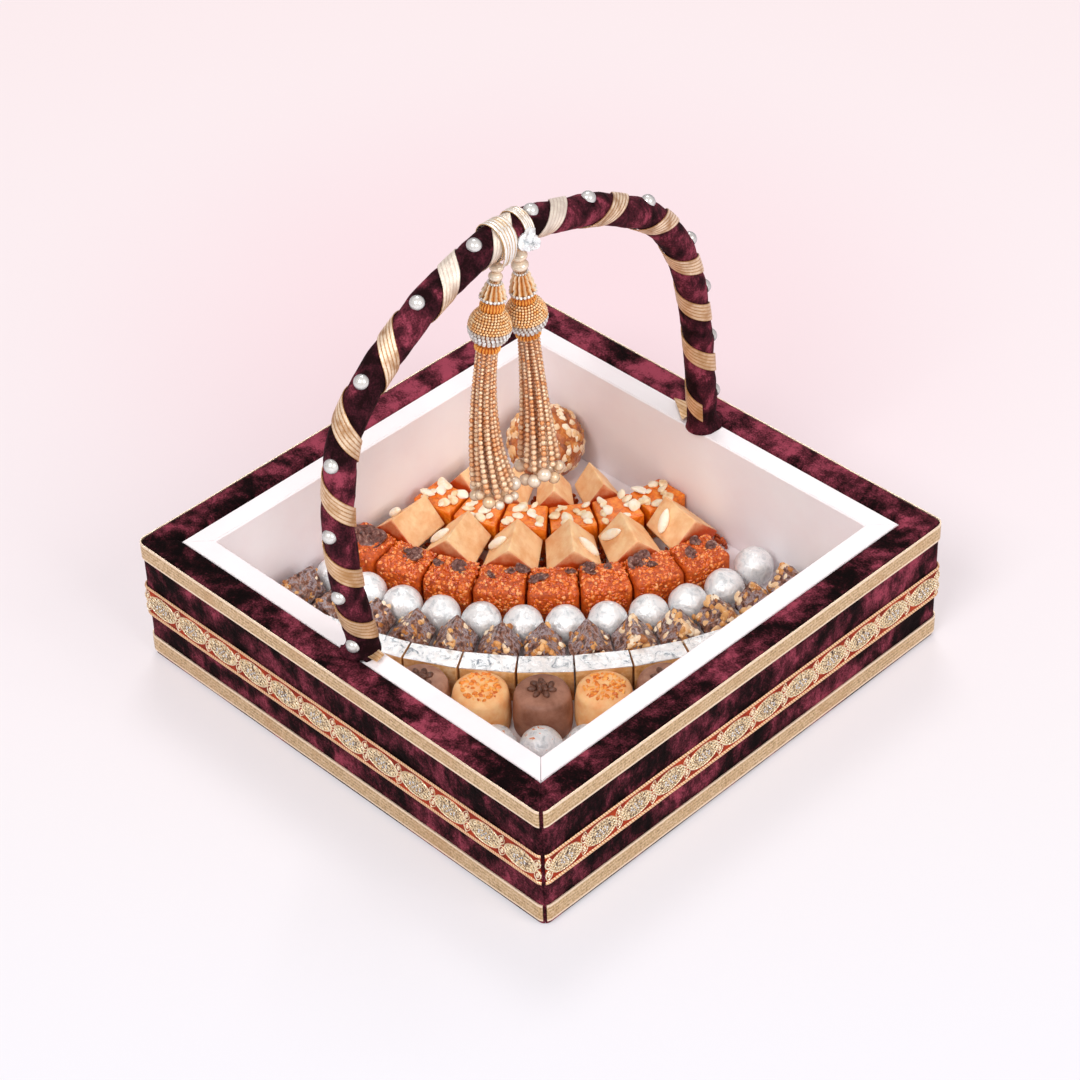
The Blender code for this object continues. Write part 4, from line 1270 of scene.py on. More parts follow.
@dataclass
class LaceBorder:
    """Tape with piped edges, oval medallions and pairs of leaves in relief."""

    low: float = 29.6 * MM
    high: float = 49.3 * MM
    piping: float = 1.2 * MM
    ground: float = 153.2 * MM
    repeat: float = 25.0 * MM
    per_wall: int = 12
    reach: tuple[float, float] = (11.5 * MM, 7.0 * MM)

    def build(self) -> None:
        """Make the tape, its edges and its embroidery."""
        tape = TrimBand("lace_tape", self.low + 0.3 * MM, self.high - 0.3 * MM, 0.5 * MM, 8,
            0.05 * MM).build()
        BENCH.deliver(tape, LACE_GROUND, "tray", ["lace_border"])
        edges = [TrimBand("lace_piping", low, low + self.piping, 1.0 * MM, 1, 0.5 * MM, 153 * MM,
            5 * MM).build() for low in (self.low, self.high - self.piping)]
        BENCH.deliver(BENCH.join("lace_piping", edges), PIPING_THREAD, "tray", smooth=70)
        ground = BENCH.ball("ground", (*self.reach, 0.65 * MM), 24, 6)
        ovals, leaves = self.medallion_places(), self.leaf_places()
        reliefs = (("lace_oval_grounds", ground, ovals, OVAL_FILIGREE, 60),
            ("lace_silver_nets", self.net_model(), ovals, SILVER_THREAD, 50),
            ("lace_gold_ovals", self.oval_model(), ovals, GOLD_THREAD, 70),
            ("lace_leaves", self.leaf_model(), leaves, GOLD_THREAD, 70))
        for name, model, places, finish, smooth in reliefs:
            BENCH.deliver(BENCH.repeat(name, model, places), finish, "tray", smooth=smooth)

    def wall_frame(self, side: Side, run: float, up: float = 0.0) -> Matrix:
        """Frame on a wall: X along it, Y up, Z outwards.

        Args:
            side: the wall.
            run: distance along the wall from its middle.
            up: distance above the middle of the lace.

        Returns:
            The frame as a matrix.
        """
        place = side.along * run + side.out * self.ground
        place.z = (self.low + self.high) / 2 + up
        return Matrix.Translation(place) @ axes(side.along, Vector((0, 0, 1)), side.out)

    def medallion_places(self) -> Places:
        """Where the ovals go, and their tones: twelve on each wall.

        Returns:
            A place and a tone for each oval.
        """
        chance = random.Random(7)
        return [(self.wall_frame(side, (number - (self.per_wall - 1) / 2) * self.repeat)
            @ about("Z", chance.uniform(-3, 3)), chance.random()) for side in Side
            for number in range(self.per_wall)]

    def leaf_places(self) -> Places:
        """Where the leaves go, and their tones: pairs between the ovals and at the corners.

        Returns:
            A place and a tone for each leaf.
        """
        chance = random.Random(8)
        step = self.repeat * 0.995
        return [(self.wall_frame(side, (number - self.per_wall / 2) * step, lift * MM)
            @ about("Z", turn + chance.uniform(-6, 6)), chance.random()) for side in Side
            for number in range(self.per_wall + 1) for lift, turn in ((3.9, 76), (-3.9, 256))]

    def oval_model(self) -> Piece:
        """Make rings of gold cord with a row of small loops between them and a rosette inside.

        Returns:
            The model.
        """
        x, y = self.reach
        parts = [BENCH.hoop("oval", (0.96 * x, 0.95 * y), 0.62 * MM, 36, 5),
            BENCH.hoop("oval_middle", (0.58 * x, 0.5 * y), 0.42 * MM, 24, 4)]
        for count, share, width in ((14, 0.78, 1.05 * MM), (7, 0.3, 0.8 * MM)):
            for angle in turns(count):
                loop = BENCH.hoop("scroll", (1.5 * MM, width), 0.32 * MM, 9, 4)
                place = shift(share * x * math.cos(angle), 0.95 * share * y * math.sin(angle), 0.45 * MM)
                loop.data.transform(place @ Matrix.Rotation(angle + 0.5, 4, "Z"))
                parts.append(loop)
        return BENCH.join("oval_model", parts)

    def net_model(self) -> Piece:
        """Make the silver knots in the rosette of an oval: a ring of eight and one inside.

        Returns:
            The model.
        """
        knots = []
        for x, y in [(3.9 * math.cos(a + 0.3), 2.0 * math.sin(a + 0.3)) for a in turns(8)] + [(0, 0)]:
            knots.append(BENCH.ball("knot", (0.62 * MM, 0.62 * MM, 0.45 * MM), 8, 5))
            knots[-1].data.transform(shift(x * MM, y * MM, 0.8 * MM))
        return BENCH.join("net_model", knots)

    def leaf_model(self) -> Piece:
        """Make a pointed loop of gold cord with a seed in it.

        Returns:
            The model.
        """
        reach = 3.2 * MM
        loop = BENCH.hoop("leaf_loop", (reach, 2.1 * MM), 0.55 * MM, 16, 5)
        for vertex in loop.data.vertices:
            vertex.co.y *= 1 - 0.7 * max(0.0, vertex.co.x / reach) ** 2
            vertex.co.x *= 1.1 if vertex.co.x > 0 else 1.0
        seed = BENCH.ball("leaf_seed", (2.0 * MM, 1.2 * MM, 0.7 * MM), 8, 5)
        return BENCH.join("leaf_model", [loop, seed])


@dataclass
class Tray:
    """Boards, velvet, foam lining and the trims round the walls."""

    ribbons_mm: tuple[tuple[str, float, float], ...] = (("top", 68.5, 79.0), ("bottom", 3.5, 14.5))

    def build(self) -> None:
        """Dress the plain nodes and make the soft and woven pieces."""
        sides = [side.name.lower() for side in Side]
        kept = ((["base_board"] + [f"{side}_board" for side in sides], FIBREBOARD),
            (["liner_floor"] + [f"liner_{side}" for side in sides], FOAM), (["base_lining"], BASE_CLOTH))
        for nodes, finish in kept:
            for node in nodes:
                dress_node(node, finish)
        VelvetWalls().build()
        for name, low, high in self.ribbons_mm:
            band = TrimBand(f"{name}_gota", low * MM, high * MM, 0.7 * MM, 5, 0.05 * MM).build()
            BENCH.deliver(band, WALL_GOTA, "tray", [f"{name}_ribbon"], smooth=60)
        LaceBorder().build()


def dress_node(node: str, finish: Finish) -> None:
    """Give a CAD node that stays in view its finish.

    Args:
        node: the node's name.
        finish: its finish.
    """
    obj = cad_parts[node]
    material = finish.build()
    if not obj.material_slots:
        obj.data.materials.append(material)
    for slot in obj.material_slots:
        slot.material = material
    LOG.info("%s: %s, as packed", node, finish.name)


# Handle


@dataclass
class Arch:
    """The handle's centre line: a smooth curve through its points, measured by its length."""

    knots_mm: tuple[tuple[float, float], ...] = ((-128.4, 78.3), (-135.5, 125), (-136.5, 180),
        (-126, 221), (-96, 250), (-55, 270.5), (-15, 278.5), (25, 269.5), (65, 252.5), (97, 227),
        (114, 195), (122, 160), (126.5, 120), (128.4, 78.3))
    steps: int = 40
    points: list[Vector] = field(default_factory=list)
    marks: list[float] = field(default_factory=lambda: [0.0])

    def __post_init__(self) -> None:
        """Lay points along the curve and measure them."""
        knots = [Vector((0, y, z)) * MM for y, z in self.knots_mm]
        spans = [(b - a).length for a, b in zip(knots, knots[1:])]
        slopes = [Vector((0, 0, 1))]
        for (a, b, c), before, after in zip(zip(knots, knots[1:], knots[2:]), spans, spans[1:]):
            slopes.append(((b - a) / before * after + (c - b) / after * before) / (before + after))
        slopes.append(Vector((0, 0, -1)))
        for index, span in enumerate(spans):
            for step in range(self.steps):
                t = step / self.steps
                self.points.append((2 * t ** 3 - 3 * t ** 2 + 1) * knots[index]
                    + (t ** 3 - 2 * t ** 2 + t) * span * slopes[index]
                    + (3 * t ** 2 - 2 * t ** 3) * knots[index + 1]
                    + (t ** 3 - t ** 2) * span * slopes[index + 1])
        self.points.append(knots[-1])
        for a, b in zip(self.points, self.points[1:]):
            self.marks.append(self.marks[-1] + (b - a).length)

    @property
    def length(self) -> float:
        """Length of the curve."""
        return self.marks[-1]

    def position(self, distance: float) -> Vector:
        """Point at a distance along the curve.

        Args:
            distance: distance along the curve from its first foot.

        Returns:
            The point.
        """
        distance = bounded(distance, 0.0, self.length)
        index = next(i for i in range(1, len(self.marks)) if self.marks[i] >= distance)
        low, high = self.marks[index - 1], self.marks[index]
        return self.points[index - 1].lerp(self.points[index], (distance - low) / (high - low))

    def outward(self, distance: float) -> Vector:
        """Unit vector from the centre line to the arch's outer side.

        Args:
            distance: distance along the curve from its first foot.

        Returns:
            The direction.
        """
        reach = 2 * MM
        along = self.position(distance + reach) - self.position(distance - reach)
        if not reach <= distance <= self.length - reach:
            along = Vector((0, 0, 1 if distance < reach else -1))
        along.normalize()
        return Vector((0, -along.z, along.y))

    def surface(self, distance: float, angle: float, radius: float) -> Vector:
        """Point at a radius round the arch, at an angle from its outer side towards +X.

        Args:
            distance: distance along the arch.
            angle: angle in radians.
            radius: distance from the centre line.

        Returns:
            The point.
        """
        direction = math.cos(angle) * self.outward(distance) + math.sin(angle) * Vector((1, 0, 0))
        return self.position(distance) + radius * direction


@dataclass
class Handle:
    """Velvet sleeve, wound ribbon and half pearls along the arch."""

    arch: Arch = field(default_factory=Arch)
    sleeve_radius: float = 7.8 * MM
    cloth: float = 0.9 * MM
    crossings_mm: tuple[float, ...] = (23.6, 62, 103, 142, 184, 231, 266, 303, 347, 388, 430, 465, 500,
        539)
    near_angle: float = math.radians(46)
    far_angle: float = math.radians(134)
    far_start: float = 330 * MM
    far_full: float = 420 * MM
    ribbon_width: float = 12 * MM
    ribbon_inner: float = 8.4 * MM
    ribbon_thickness: float = 0.45 * MM
    ribs: int = 5
    pearl_angle: float = math.radians(14)
    first_pearl: float = 9.4 * MM
    pearl_seat: float = 8.1 * MM

    @property
    def crossings(self) -> list[float]:
        """Distances along the arch at which the ribbon crosses its facing side."""
        return [mark * MM for mark in self.crossings_mm]

    def winding_angle(self, distance: float) -> float:
        """Angle of the wound ribbon at a distance along the arch, falling by a turn a crossing.

        Args:
            distance: distance along the curve from its first foot.

        Returns:
            The angle in radians.
        """
        far = bounded((distance - self.far_start) / (self.far_full - self.far_start))
        facing = self.near_angle + far * (self.far_angle - self.near_angle)
        marks = self.crossings
        index = 0
        while index < len(marks) - 2 and distance > marks[index + 1]:
            index += 1
        wound = index + (distance - marks[index]) / (marks[index + 1] - marks[index])
        return facing - 2 * math.pi * wound

    def between_turns(self, crossing: int) -> float:
        """Distance along the arch of the outer side halfway from one turn to the next.

        Args:
            crossing: number of the turn.

        Returns:
            The distance.
        """
        wanted = self.pearl_angle - math.pi - 2 * math.pi * crossing
        low, high = self.crossings[crossing], self.crossings[crossing + 1] + self.ribbon_width
        for _ in range(30):
            middle = (low + high) / 2
            low, high = (middle, high) if self.winding_angle(middle) > wanted else (low, middle)
        return (low + high) / 2

    def sleeve_swell(self, distance: float, angle: float) -> float:
        """How far the padded sleeve stands out: pressed in under the ribbon, full between.

        Args:
            distance: distance along the arch.
            angle: angle round it.

        Returns:
            Height over the sleeve's plain radius.
        """
        off = (self.winding_angle(distance) - angle + math.pi) % (2 * math.pi) - math.pi
        gap = abs(off) / (2 * math.pi) * 40 * MM - self.ribbon_width / 2
        open_share = bounded(gap / (7 * MM))
        wound = 15 * MM < distance < 545 * MM
        place = round_z(1.2, angle, distance * 75)
        wrinkle = noise.noise(place) * 0.55 + noise.noise(place * 2.7) * 0.3
        return ((0.75 * open_share if wound else 0.5) + wrinkle * (0.25 + 0.5 * open_share)) * MM

    def build_sleeve(self) -> None:
        """Make the velvet sleeve, wrinkled where the ribbon pulls it in, spread on the rim."""
        rings = []
        steps, sides = 230, 32
        for step in range(steps + 1):
            distance = self.arch.length * step / steps
            to_foot = min(distance, self.arch.length - distance)
            spread = max(0.0, 1 - to_foot / (9 * MM)) ** 2
            ring = []
            for angle in turns(sides):
                radius = self.sleeve_radius + self.sleeve_swell(distance, angle)
                radius += (1.0 + 3.8 * max(0.0, math.cos(angle)) ** 1.5) * spread * MM
                point = self.arch.surface(distance, angle, radius)
                if abs(point.y) > 135.5 * MM and point.z < 90 * MM:
                    point.z = max(point.z, 81.2 * MM)
                ring.append(point)
            rings.append(ring)
        sleeve = BENCH.skin("velvet_sleeve", rings, caps=False)
        BENCH.modify(sleeve, "SOLIDIFY", thickness=self.cloth, offset=-1.0)
        BENCH.deliver(sleeve, SLEEVE_VELVET, "tray", ["handle_sleeve"], smooth=60)

    def ribbon_ring(self, distance: float) -> list[Vector]:
        """Section of the wound ribbon at a distance: faintly ribbed outside, flat inside.

        Args:
            distance: distance along the curve from its first foot.

        Returns:
            The section's points.
        """
        angle, rows = self.winding_angle(distance), 4 * self.ribs
        ring = []
        for row in [*range(rows + 1), *range(rows, -1, -4)]:
            front = len(ring) <= rows
            offset = self.ribbon_width * (row / rows - 0.5)
            rise = 0.09 * MM * (0.5 - 0.5 * math.cos(2 * math.pi * self.ribs * row / rows))
            height = self.ribbon_inner + (self.ribbon_thickness + rise if front else 0)
            ring.append(self.arch.surface(distance + offset, angle, height))
        return ring

    def build_ribbon(self) -> None:
        """Wind the ribbon round the sleeve in one unbroken run."""
        marks = self.crossings
        start = marks[0] - 0.25 * (marks[1] - marks[0])
        stations = [start + (marks[0] - start) * k / 9 for k in range(9)]
        for low, high in zip(marks, marks[1:]):
            stations += [low + (high - low) * k / 32 for k in range(32)]
        stations.append(marks[-1])
        ribbon = BENCH.skin("wound_gota", [self.ribbon_ring(s) for s in stations])
        BENCH.map_ribbon(ribbon, 4 * self.ribs, self.ribs)
        BENCH.deliver(ribbon, GOTA, "tray", ["handle_ribbon"], smooth=60)

    def build_pearls(self) -> None:
        """Set the half pearls on the sleeve's outer side between the ribbon's turns."""
        model = BENCH.ball("pearl_model", (4 * MM, 4 * MM, 3.6 * MM), 24, 16)
        BENCH.cut(model, (0, 0, -1), [(0, 0, 0)], drop=True, fill=True)
        seats = [self.first_pearl]
        seats += [self.between_turns(k) for k in range(len(self.crossings_mm) - 1)]
        for number, distance in enumerate(seats, start=1):
            middle = self.arch.position(distance)
            outward = self.arch.surface(distance, self.pearl_angle, 1.0) - middle
            matrix = lie_on(Matrix(), middle + self.pearl_seat * outward, outward, 0, 1)
            pearl = BENCH.copy(model, f"half_pearl_{number:02d}", matrix)
            BENCH.deliver(pearl, PEARL, "tray", [f"pearl_{number:02d}"], smooth=50)
        bpy.data.objects.remove(model)

    def build_tails(self) -> None:
        """Lay the ribbon's two short ends on the rim beside the handle's feet."""
        tails = []
        outlines = (((2.5, -124.5), (13.5, -126.0), (14.5, -132.5), (3.0, -133.5)),
            ((-10.5, 139.0), (-9.5, 122.5), (-27.0, 134.5)))
        for outline in outlines:
            low = [Vector((x, y, 80.3)) * MM for x, y in outline]
            tail = BENCH.mesh("gota_tails", low, [range(len(low))])
            BENCH.pick(tail, "FACE")
            bpy.ops.mesh.extrude_region_move(TRANSFORM_OT_translate={"value": (0, 0, 0.6 * MM)})
            BENCH.pick(tail, "EDGE")
            BENCH.bevel(0.2 * MM, 2)
            BENCH.face_outwards(tail)
            layer = tail.data.uv_layers.new(name="UVMap")
            for loop in tail.data.loops:
                place = tail.data.vertices[loop.vertex_index].co
                layer.data[loop.index].uv = (place.x * 100, place.y / self.ribbon_width)
            tails.append(tail)
        BENCH.deliver(BENCH.join("gota_tails", tails), GOTA, "tray")

    def build(self) -> None:
        """Make all pieces of the handle."""
        dress_node("handle_core", CANE)
        self.build_sleeve()
        self.build_ribbon()
        self.build_tails()
        self.build_pearls()


# Tassels


@dataclass
class Tassel:
    """A bead tassel that hangs from its mount round the handle, leaning a little."""

    name: str
    y: float
    lean: float
    dome_depth: float
    neck_bottom: float
    cap_height: float
    rises_mm: tuple[int, ...]
    foot_y: float
    mount_width: float
    mount_ribs: int
    hinge_z: float = 266.2 * MM
    handle_z: float = 278.2 * MM
    dome_radius: float = 11.4 * MM
    dome_pitch: float = 9.0 * MM
    collar_radius: float = 6.4 * MM
    spread: float = 10.5 * MM
    lowest: float = 119 * MM
    end_bead: float = 4.0 * MM

    @property
    def hang(self) -> Matrix:
        """Frame of the hanging tassel: its hinge at the origin, down along -Z, with its lean."""
        return shift(0, self.y, self.hinge_z) @ about("X", self.lean)

    @property
    def dome_bottom(self) -> float:
        """Depth below the hinge at which the dome ends."""
        return self.dome_depth + 0.88 * self.dome_radius

    def give(self, piece: Piece, finish: Finish, slot: str, node: str = "", smooth: float = 60) -> None:
        """Attach a piece that hangs on the tassel.

        Args:
            piece: the piece.
            finish: its finish.
            slot: not used.
            node: the tassel's node that it stands for, if any.
            smooth: greatest angle in degrees over which shading stays smooth.
        """
        BENCH.deliver(piece, finish, self.name, [f"{self.name}_{node}"] if node else (), smooth)

    def turned(self, piece: str, profile: Sequence[tuple[float, float]], sides: int, flutes: int = 0,
            depth: float = 0.0) -> Piece:
        """Make a turned piece from radii and depths below the hinge.

        Args:
            piece: its name.
            profile: its (radius, depth) points, from the top down.
            sides: faces round it.
            flutes: number of flutes round it.
            depth: the flutes' depth.

        Returns:
            The piece, in its hanging place.
        """
        return BENCH.skin(f"{self.name}_{piece}",
            [[self.hang @ round_z(radius - depth * abs(math.sin(angle * flutes / 2)), angle, -down)
            for angle in turns(sides)] for radius, down in profile])

    def bead_ring(self, radius: float, down: float, bead: float, turn: float,
            chance: random.Random) -> Places:
        """Places of beads threaded in a ring.

        Args:
            radius: radius of the ring.
            down: its depth below the hinge.
            bead: radius of a bead.
            turn: share of a bead by which the ring is turned.
            chance: source of the beads' tones.

        Returns:
            The beads' places and tones, for a model of radius 1.
        """
        count = max(6, int(2 * math.pi * radius / (2.02 * bead)))
        return [(self.hang @ Matrix.Translation(round_z(radius, angle, -down))
            @ Matrix.Rotation(angle, 4, "Z") @ Matrix.Scale(bead, 4), chance.random())
            for angle in turns(count, turn)]

    def build_neck(self) -> None:
        """Make the eyelet and the two neck beads."""
        ring = BENCH.hoop(f"{self.name}_ring", (1.5 * MM, 1.5 * MM), 0.45 * MM, 20, 8)
        ring.data.transform(shift(0, self.y, self.hinge_z) @ about("Y", 90))
        self.give(ring, NECK_BEAD, "gold_bead", "eyelet")
        top = 2.25 * MM
        size = (self.neck_bottom - top) / 2
        model = BENCH.ball("neck_model", (0.76 * size, 0.76 * size, 0.53 * size), 24, 16)
        places = [(self.hang @ shift(0, 0, -(top + (k + 0.5) * size)), 0.7 + 0.2 * k) for k in range(2)]
        self.give(BENCH.repeat(f"{self.name}_round_beads", model, places), NECK_BEAD, "gold_bead",
            "neck_beads")

    def build_cap(self) -> None:
        """Make the pleated cap in three tiers and the bright bead rows over and under it."""
        top = self.neck_bottom + 0.3 * MM
        tiers = ((0, 1.2), (0.04, 2.8), (0.15, 4.6), (0.3, 5.3), (0.36, 4.9), (0.5, 6.0), (0.64, 6.5),
            (0.7, 6.0), (0.86, 7.3), (0.95, 7.0), (1.0, 5.2))
        profile = [(radius * MM, top + share * self.cap_height) for share, radius in tiers]
        cap = self.turned("fluted_cap", profile, 96, flutes=12, depth=1.7 * MM)
        self.give(cap, CAP_BRAID, "gold_bead", "cap", smooth=50)
        chance = random.Random(11)
        places = self.bead_ring(6.4 * MM, top + self.cap_height - 0.4 * MM, 0.95 * MM, 0, chance)
        places += self.bead_ring(3.4 * MM, top + 0.6 * MM, 0.7 * MM, 0, chance)
        model = BENCH.ball("row_bead", (1, 1, 1), 8, 6)
        self.give(BENCH.repeat(f"{self.name}_cap_row", model, places), CRYSTAL, "gold_bead")

    def build_dome(self) -> None:
        """Make the dome: a brown core under rows of seed beads, a pleated neck, a stone band."""
        top = self.neck_bottom + self.cap_height + 0.6 * MM
        shoulder = self.dome_depth - self.dome_pitch
        core = self.dome_radius - 1.3 * MM
        profile = [(4.4 * MM, top), (4.6 * MM, shoulder)]
        for degrees in (-52, -38, -25, -12, 0, 12, 25, 38, 50):
            angle = math.radians(degrees)
            profile.append((core * math.cos(angle), self.dome_depth + core * math.sin(angle)))
        profile.append((5.6 * MM, self.dome_bottom))
        self.give(self.turned("dome_core", profile, 48), UNDER_THREAD, "orange_beadwork", "dome", 35)
        neck = self.turned("thread_neck", [(5.0 * MM, top - 0.2 * MM), (6.4 * MM, top + 0.7 * MM),
            (5.6 * MM, top + 1.8 * MM), (6.6 * MM, top + 3.0 * MM), (6.2 * MM, shoulder - 0.8 * MM),
            (5.2 * MM, shoulder)], 88, flutes=22, depth=0.6 * MM)
        self.give(neck, ORANGE_THREAD, "orange_beadwork")
        chance = random.Random(12)
        reach = self.dome_radius - 0.75 * MM
        seed = BENCH.ball("seed", (1, 1, 1), 8, 6)
        stone = BENCH.add("stone", "ico_sphere", subdivisions=1, radius=1)
        upper, lower = [-0.5 - 7.9 * row for row in range(8)], (9, 20, 31, 42)
        bands = (("seed_rows", seed, SEED_BEAD, 0.78 * MM, 60, upper),
            ("stone_band", stone, CRYSTAL, 1.12 * MM, 5, lower))
        for name, model, finish, bead, smooth, rows in bands:
            places: Places = []
            for row, degrees in enumerate(rows):
                angle = math.radians(degrees)
                if reach * math.cos(angle) > 5.6 * MM:
                    places += self.bead_ring(reach * math.cos(angle), self.dome_depth
                        + reach * math.sin(angle), bead, row % 2 / 2, chance)
            beads = BENCH.repeat(f"{self.name}_{name}", model, places)
            self.give(beads, finish, "orange_beadwork", smooth=smooth)

    def build_collar(self) -> None:
        """Make the ruffled orange collar under the dome."""
        swell = ((-1.2, 0.1), (0.3, 0.8), (0.5, 1.9), (0.2, 3.0), (-1.3, 3.7))
        profile = [(self.collar_radius + x * MM, self.dome_bottom + z * MM) for x, z in swell]
        collar = self.turned("thread_collar", profile, 132, flutes=22, depth=1.1 * MM)
        self.give(collar, ORANGE_THREAD, "orange_beadwork", "collar")

    def strand_beads(self, start: Vector, end: Vector, chance: random.Random) -> Places:
        """Small beads of one strand, growing from its start to its end.

        Args:
            start: its upper end.
            end: middle of its last bead.
            chance: source of the beads' tones.

        Returns:
            The beads' places and tones, for a model of radius 1.
        """
        axis = (self.hang.to_3x3() @ Vector((0, 0, -1))).normalized()
        sway = Vector((chance.uniform(-2, 2), chance.uniform(-2, 2), 0)) * MM
        length = (end - start).length
        bend = start + axis * length * 0.55 + sway
        places = []
        travelled = 0.0
        while travelled < length - 4.0 * MM:
            share = travelled / length
            at = (1 - share) ** 2 * start + 2 * share * (1 - share) * bend + share ** 2 * end
            bead = (0.9 + 1.05 * share ** 1.5) * MM
            places.append((Matrix.Translation(at) @ Matrix.Scale(bead, 4), chance.random()))
            travelled += 2.15 * bead
        return places

    def build_strands(self) -> None:
        """Hang the strands of beads from under the collar, each with a pearl at its end."""
        depth = self.dome_bottom + 3.4 * MM
        disc = self.turned("strand_disc", [(2 * MM, depth - 0.8 * MM), (4.4 * MM, depth - 0.6 * MM),
            (4.4 * MM, depth + 0.4 * MM), (2 * MM, depth + 0.6 * MM)], 24)
        self.give(disc, UNDER_THREAD, "gold_bead", smooth=35)
        chance = random.Random(len(self.name) + int(self.y * 1000))
        beads: Places = []
        pearls: Places = []
        rises = self.rises_mm
        strands = [(1.0, turn, rises[k % len(rises)]) for k, turn in enumerate(turns(12))]
        strands += [(0.5, turn, 6 + 3 * (k % 3)) for k, turn in enumerate(turns(6, 0.5))]
        strands.append((0.0, 0.0, rises[-1]))
        for inner, turn, rise_mm in strands:
            reach = inner * (self.collar_radius - 1.3 * MM)
            start = self.hang @ round_z(reach, turn, -depth - 0.5 * MM)
            foot = Vector((0, self.foot_y, self.lowest + rise_mm * MM))
            end = foot + round_z(inner * self.spread * (1.0 if inner == 1 else 0.9), turn)
            beads += self.strand_beads(start, end, chance)
            pearl = self.end_bead * chance.uniform(0.62, 1)
            pearls.append((Matrix.Translation(end) @ shift(0, 0, -2.4 * MM) @ Matrix.Scale(pearl, 4),
                chance.random()))
        strings = BENCH.repeat(f"{self.name}_bead_strands", BENCH.ball("bead", (1, 1, 1), 10, 7), beads)
        self.give(strings, STRAND_BEAD, "gold_bead", "strands")
        ends = BENCH.repeat(f"{self.name}_end_pearls", BENCH.ball("pearl", (1, 1, 1), 20, 14), pearls)
        self.give(ends, END_PEARL, "gold_bead")

    def mount_ring(self, angle: float, width: float) -> list[Vector]:
        """Section of the mount's band round the handle.

        Args:
            angle: angle round the handle, 0 at the bottom.
            width: the band's width there.

        Returns:
            The section's points, round.
        """
        radius = (9.5 + 2.3 * max(0.0, math.cos(angle)) ** 4) * MM
        out = Vector((math.sin(angle), 0, -math.cos(angle)))
        centre = Vector((0, self.y, self.handle_z))
        rows = 4 * self.mount_ribs
        ring = []
        for row in [*range(rows + 1), *range(rows, -1, -4)]:
            rise = 0.0
            if len(ring) <= rows:
                fold = noise.noise(Vector((3 * math.sin(angle), 3 * math.cos(angle), 5 * row / rows)))
                rib = 0.45 - 0.05 * math.cos(2 * math.pi * self.mount_ribs * row / rows)
                rise = max(rib + 0.3 * fold, 0.3) * MM
            ring.append(centre + (radius + rise) * out + Vector((0, width * (row / rows - 0.5), 0)))
        return ring

    def build_mount(self) -> None:
        """Make the band that goes round the handle and narrows to the eyelet."""
        narrow = 1.3 * MM
        rings = []
        for angle in turns(72):
            open_share = bounded((1 - math.cos(angle)) / 0.1) ** 0.5
            rings.append(self.mount_ring(angle, narrow + (self.mount_width - narrow) * open_share))
        band = BENCH.skin(f"{self.name}_tie", rings, closed=True)
        BENCH.map_ribbon(band, 4 * self.mount_ribs, self.mount_ribs)
        BENCH.deliver(band, BRIGHT_GOTA, f"{self.name}_cord", [f"{self.name}_loop"],
            smooth=60)

    def build(self) -> None:
        """Make the whole tassel."""
        self.build_mount()
        self.build_neck()
        self.build_cap()
        self.build_dome()
        self.build_collar()
        self.build_strands()

    def build_knot(self) -> None:
        """Make the crumpled knot of silver cloth that sits on the mount, before the handle."""
        rings = []
        for t in turns(96):
            point = Vector((math.sin(t) + 2 * math.sin(2 * t), math.cos(t) - 2 * math.cos(2 * t),
                -math.sin(3 * t)))
            ahead = Vector((math.cos(t) + 4 * math.cos(2 * t), -math.sin(t) + 4 * math.sin(2 * t),
                -3 * math.cos(3 * t))).normalized()
            across = ahead.cross(Vector((0.1, 0.2, 1))).normalized()
            upright = across.cross(ahead)
            ring = []
            for angle in turns(16):
                crease = 1 + 0.2 * math.cos(5 * angle + 4 * t) + 0.3 * noise.noise(point * 0.9)
                ring.append(1.55 * MM * point + 2.2 * MM * crease * (math.cos(angle) * across
                    + math.sin(angle) * upright))
            rings.append(ring)
        knot = BENCH.skin(f"{self.name}_knot", rings, closed=True)
        knot.data.transform(shift(10.6 * MM, self.y - 2.5 * MM, self.handle_z - 2 * MM) @ about("Y", 80))
        BENCH.roughen(knot, 1.8, 0.9)
        BENCH.deliver(knot, KNOT_FOIL, f"{self.name}_cord", smooth=30)

    def build_drop(self) -> None:
        """Make the satin end that falls from the mount in front of the handle to the first bead."""
        path = ((5.6, 8.9), (8.6, 6.0), (10.5, 2.0), (10.9, -1.6), (10.6, -5.0), (9.8, -8.0),
            (8.8, -10.2), (8.2, -11.4))
        width = self.mount_width - 0.4 * MM
        sides = 20
        rings = []
        for number, (x, z) in enumerate(path):
            share = number / (len(path) - 1)
            half = width * (0.5 - 0.1 * share)
            before, after = path[max(number - 1, 0)], path[min(number + 1, len(path) - 1)]
            along = Vector((after[0] - before[0], 0, after[1] - before[1])).normalized()
            out = Vector((-along.z, 0, along.x))
            middle = Vector((x * MM, self.y - 1.6 * MM * share, self.handle_z + z * MM))
            points = []
            for side in range(sides + 1):
                across = side / sides * 2 - 1
                fold = 0.4 * MM * share * math.cos(across * 3 * math.pi)
                points.append(middle + Vector((0, across * half, 0)) + out * fold)
            rings.append([point + out * 0.3 * MM for point in points]
                + [point - out * 0.2 * MM for point in reversed(points)])
        drop = BENCH.skin(f"{self.name}_satin_end", rings)
        BENCH.map_ribbon(drop, sides, sides)
        BENCH.modify(drop, "SUBSURF", levels=1, render_levels=1)
        BENCH.deliver(drop, BRIGHT_GOTA, f"{self.name}_cord", smooth=60)


# Sweets

FAN_CENTRE = Vector((-118 * MM, 127 * MM, 0))
SWEETS_BASE = 10.8 * MM
FAN_MIDDLE = 46.5


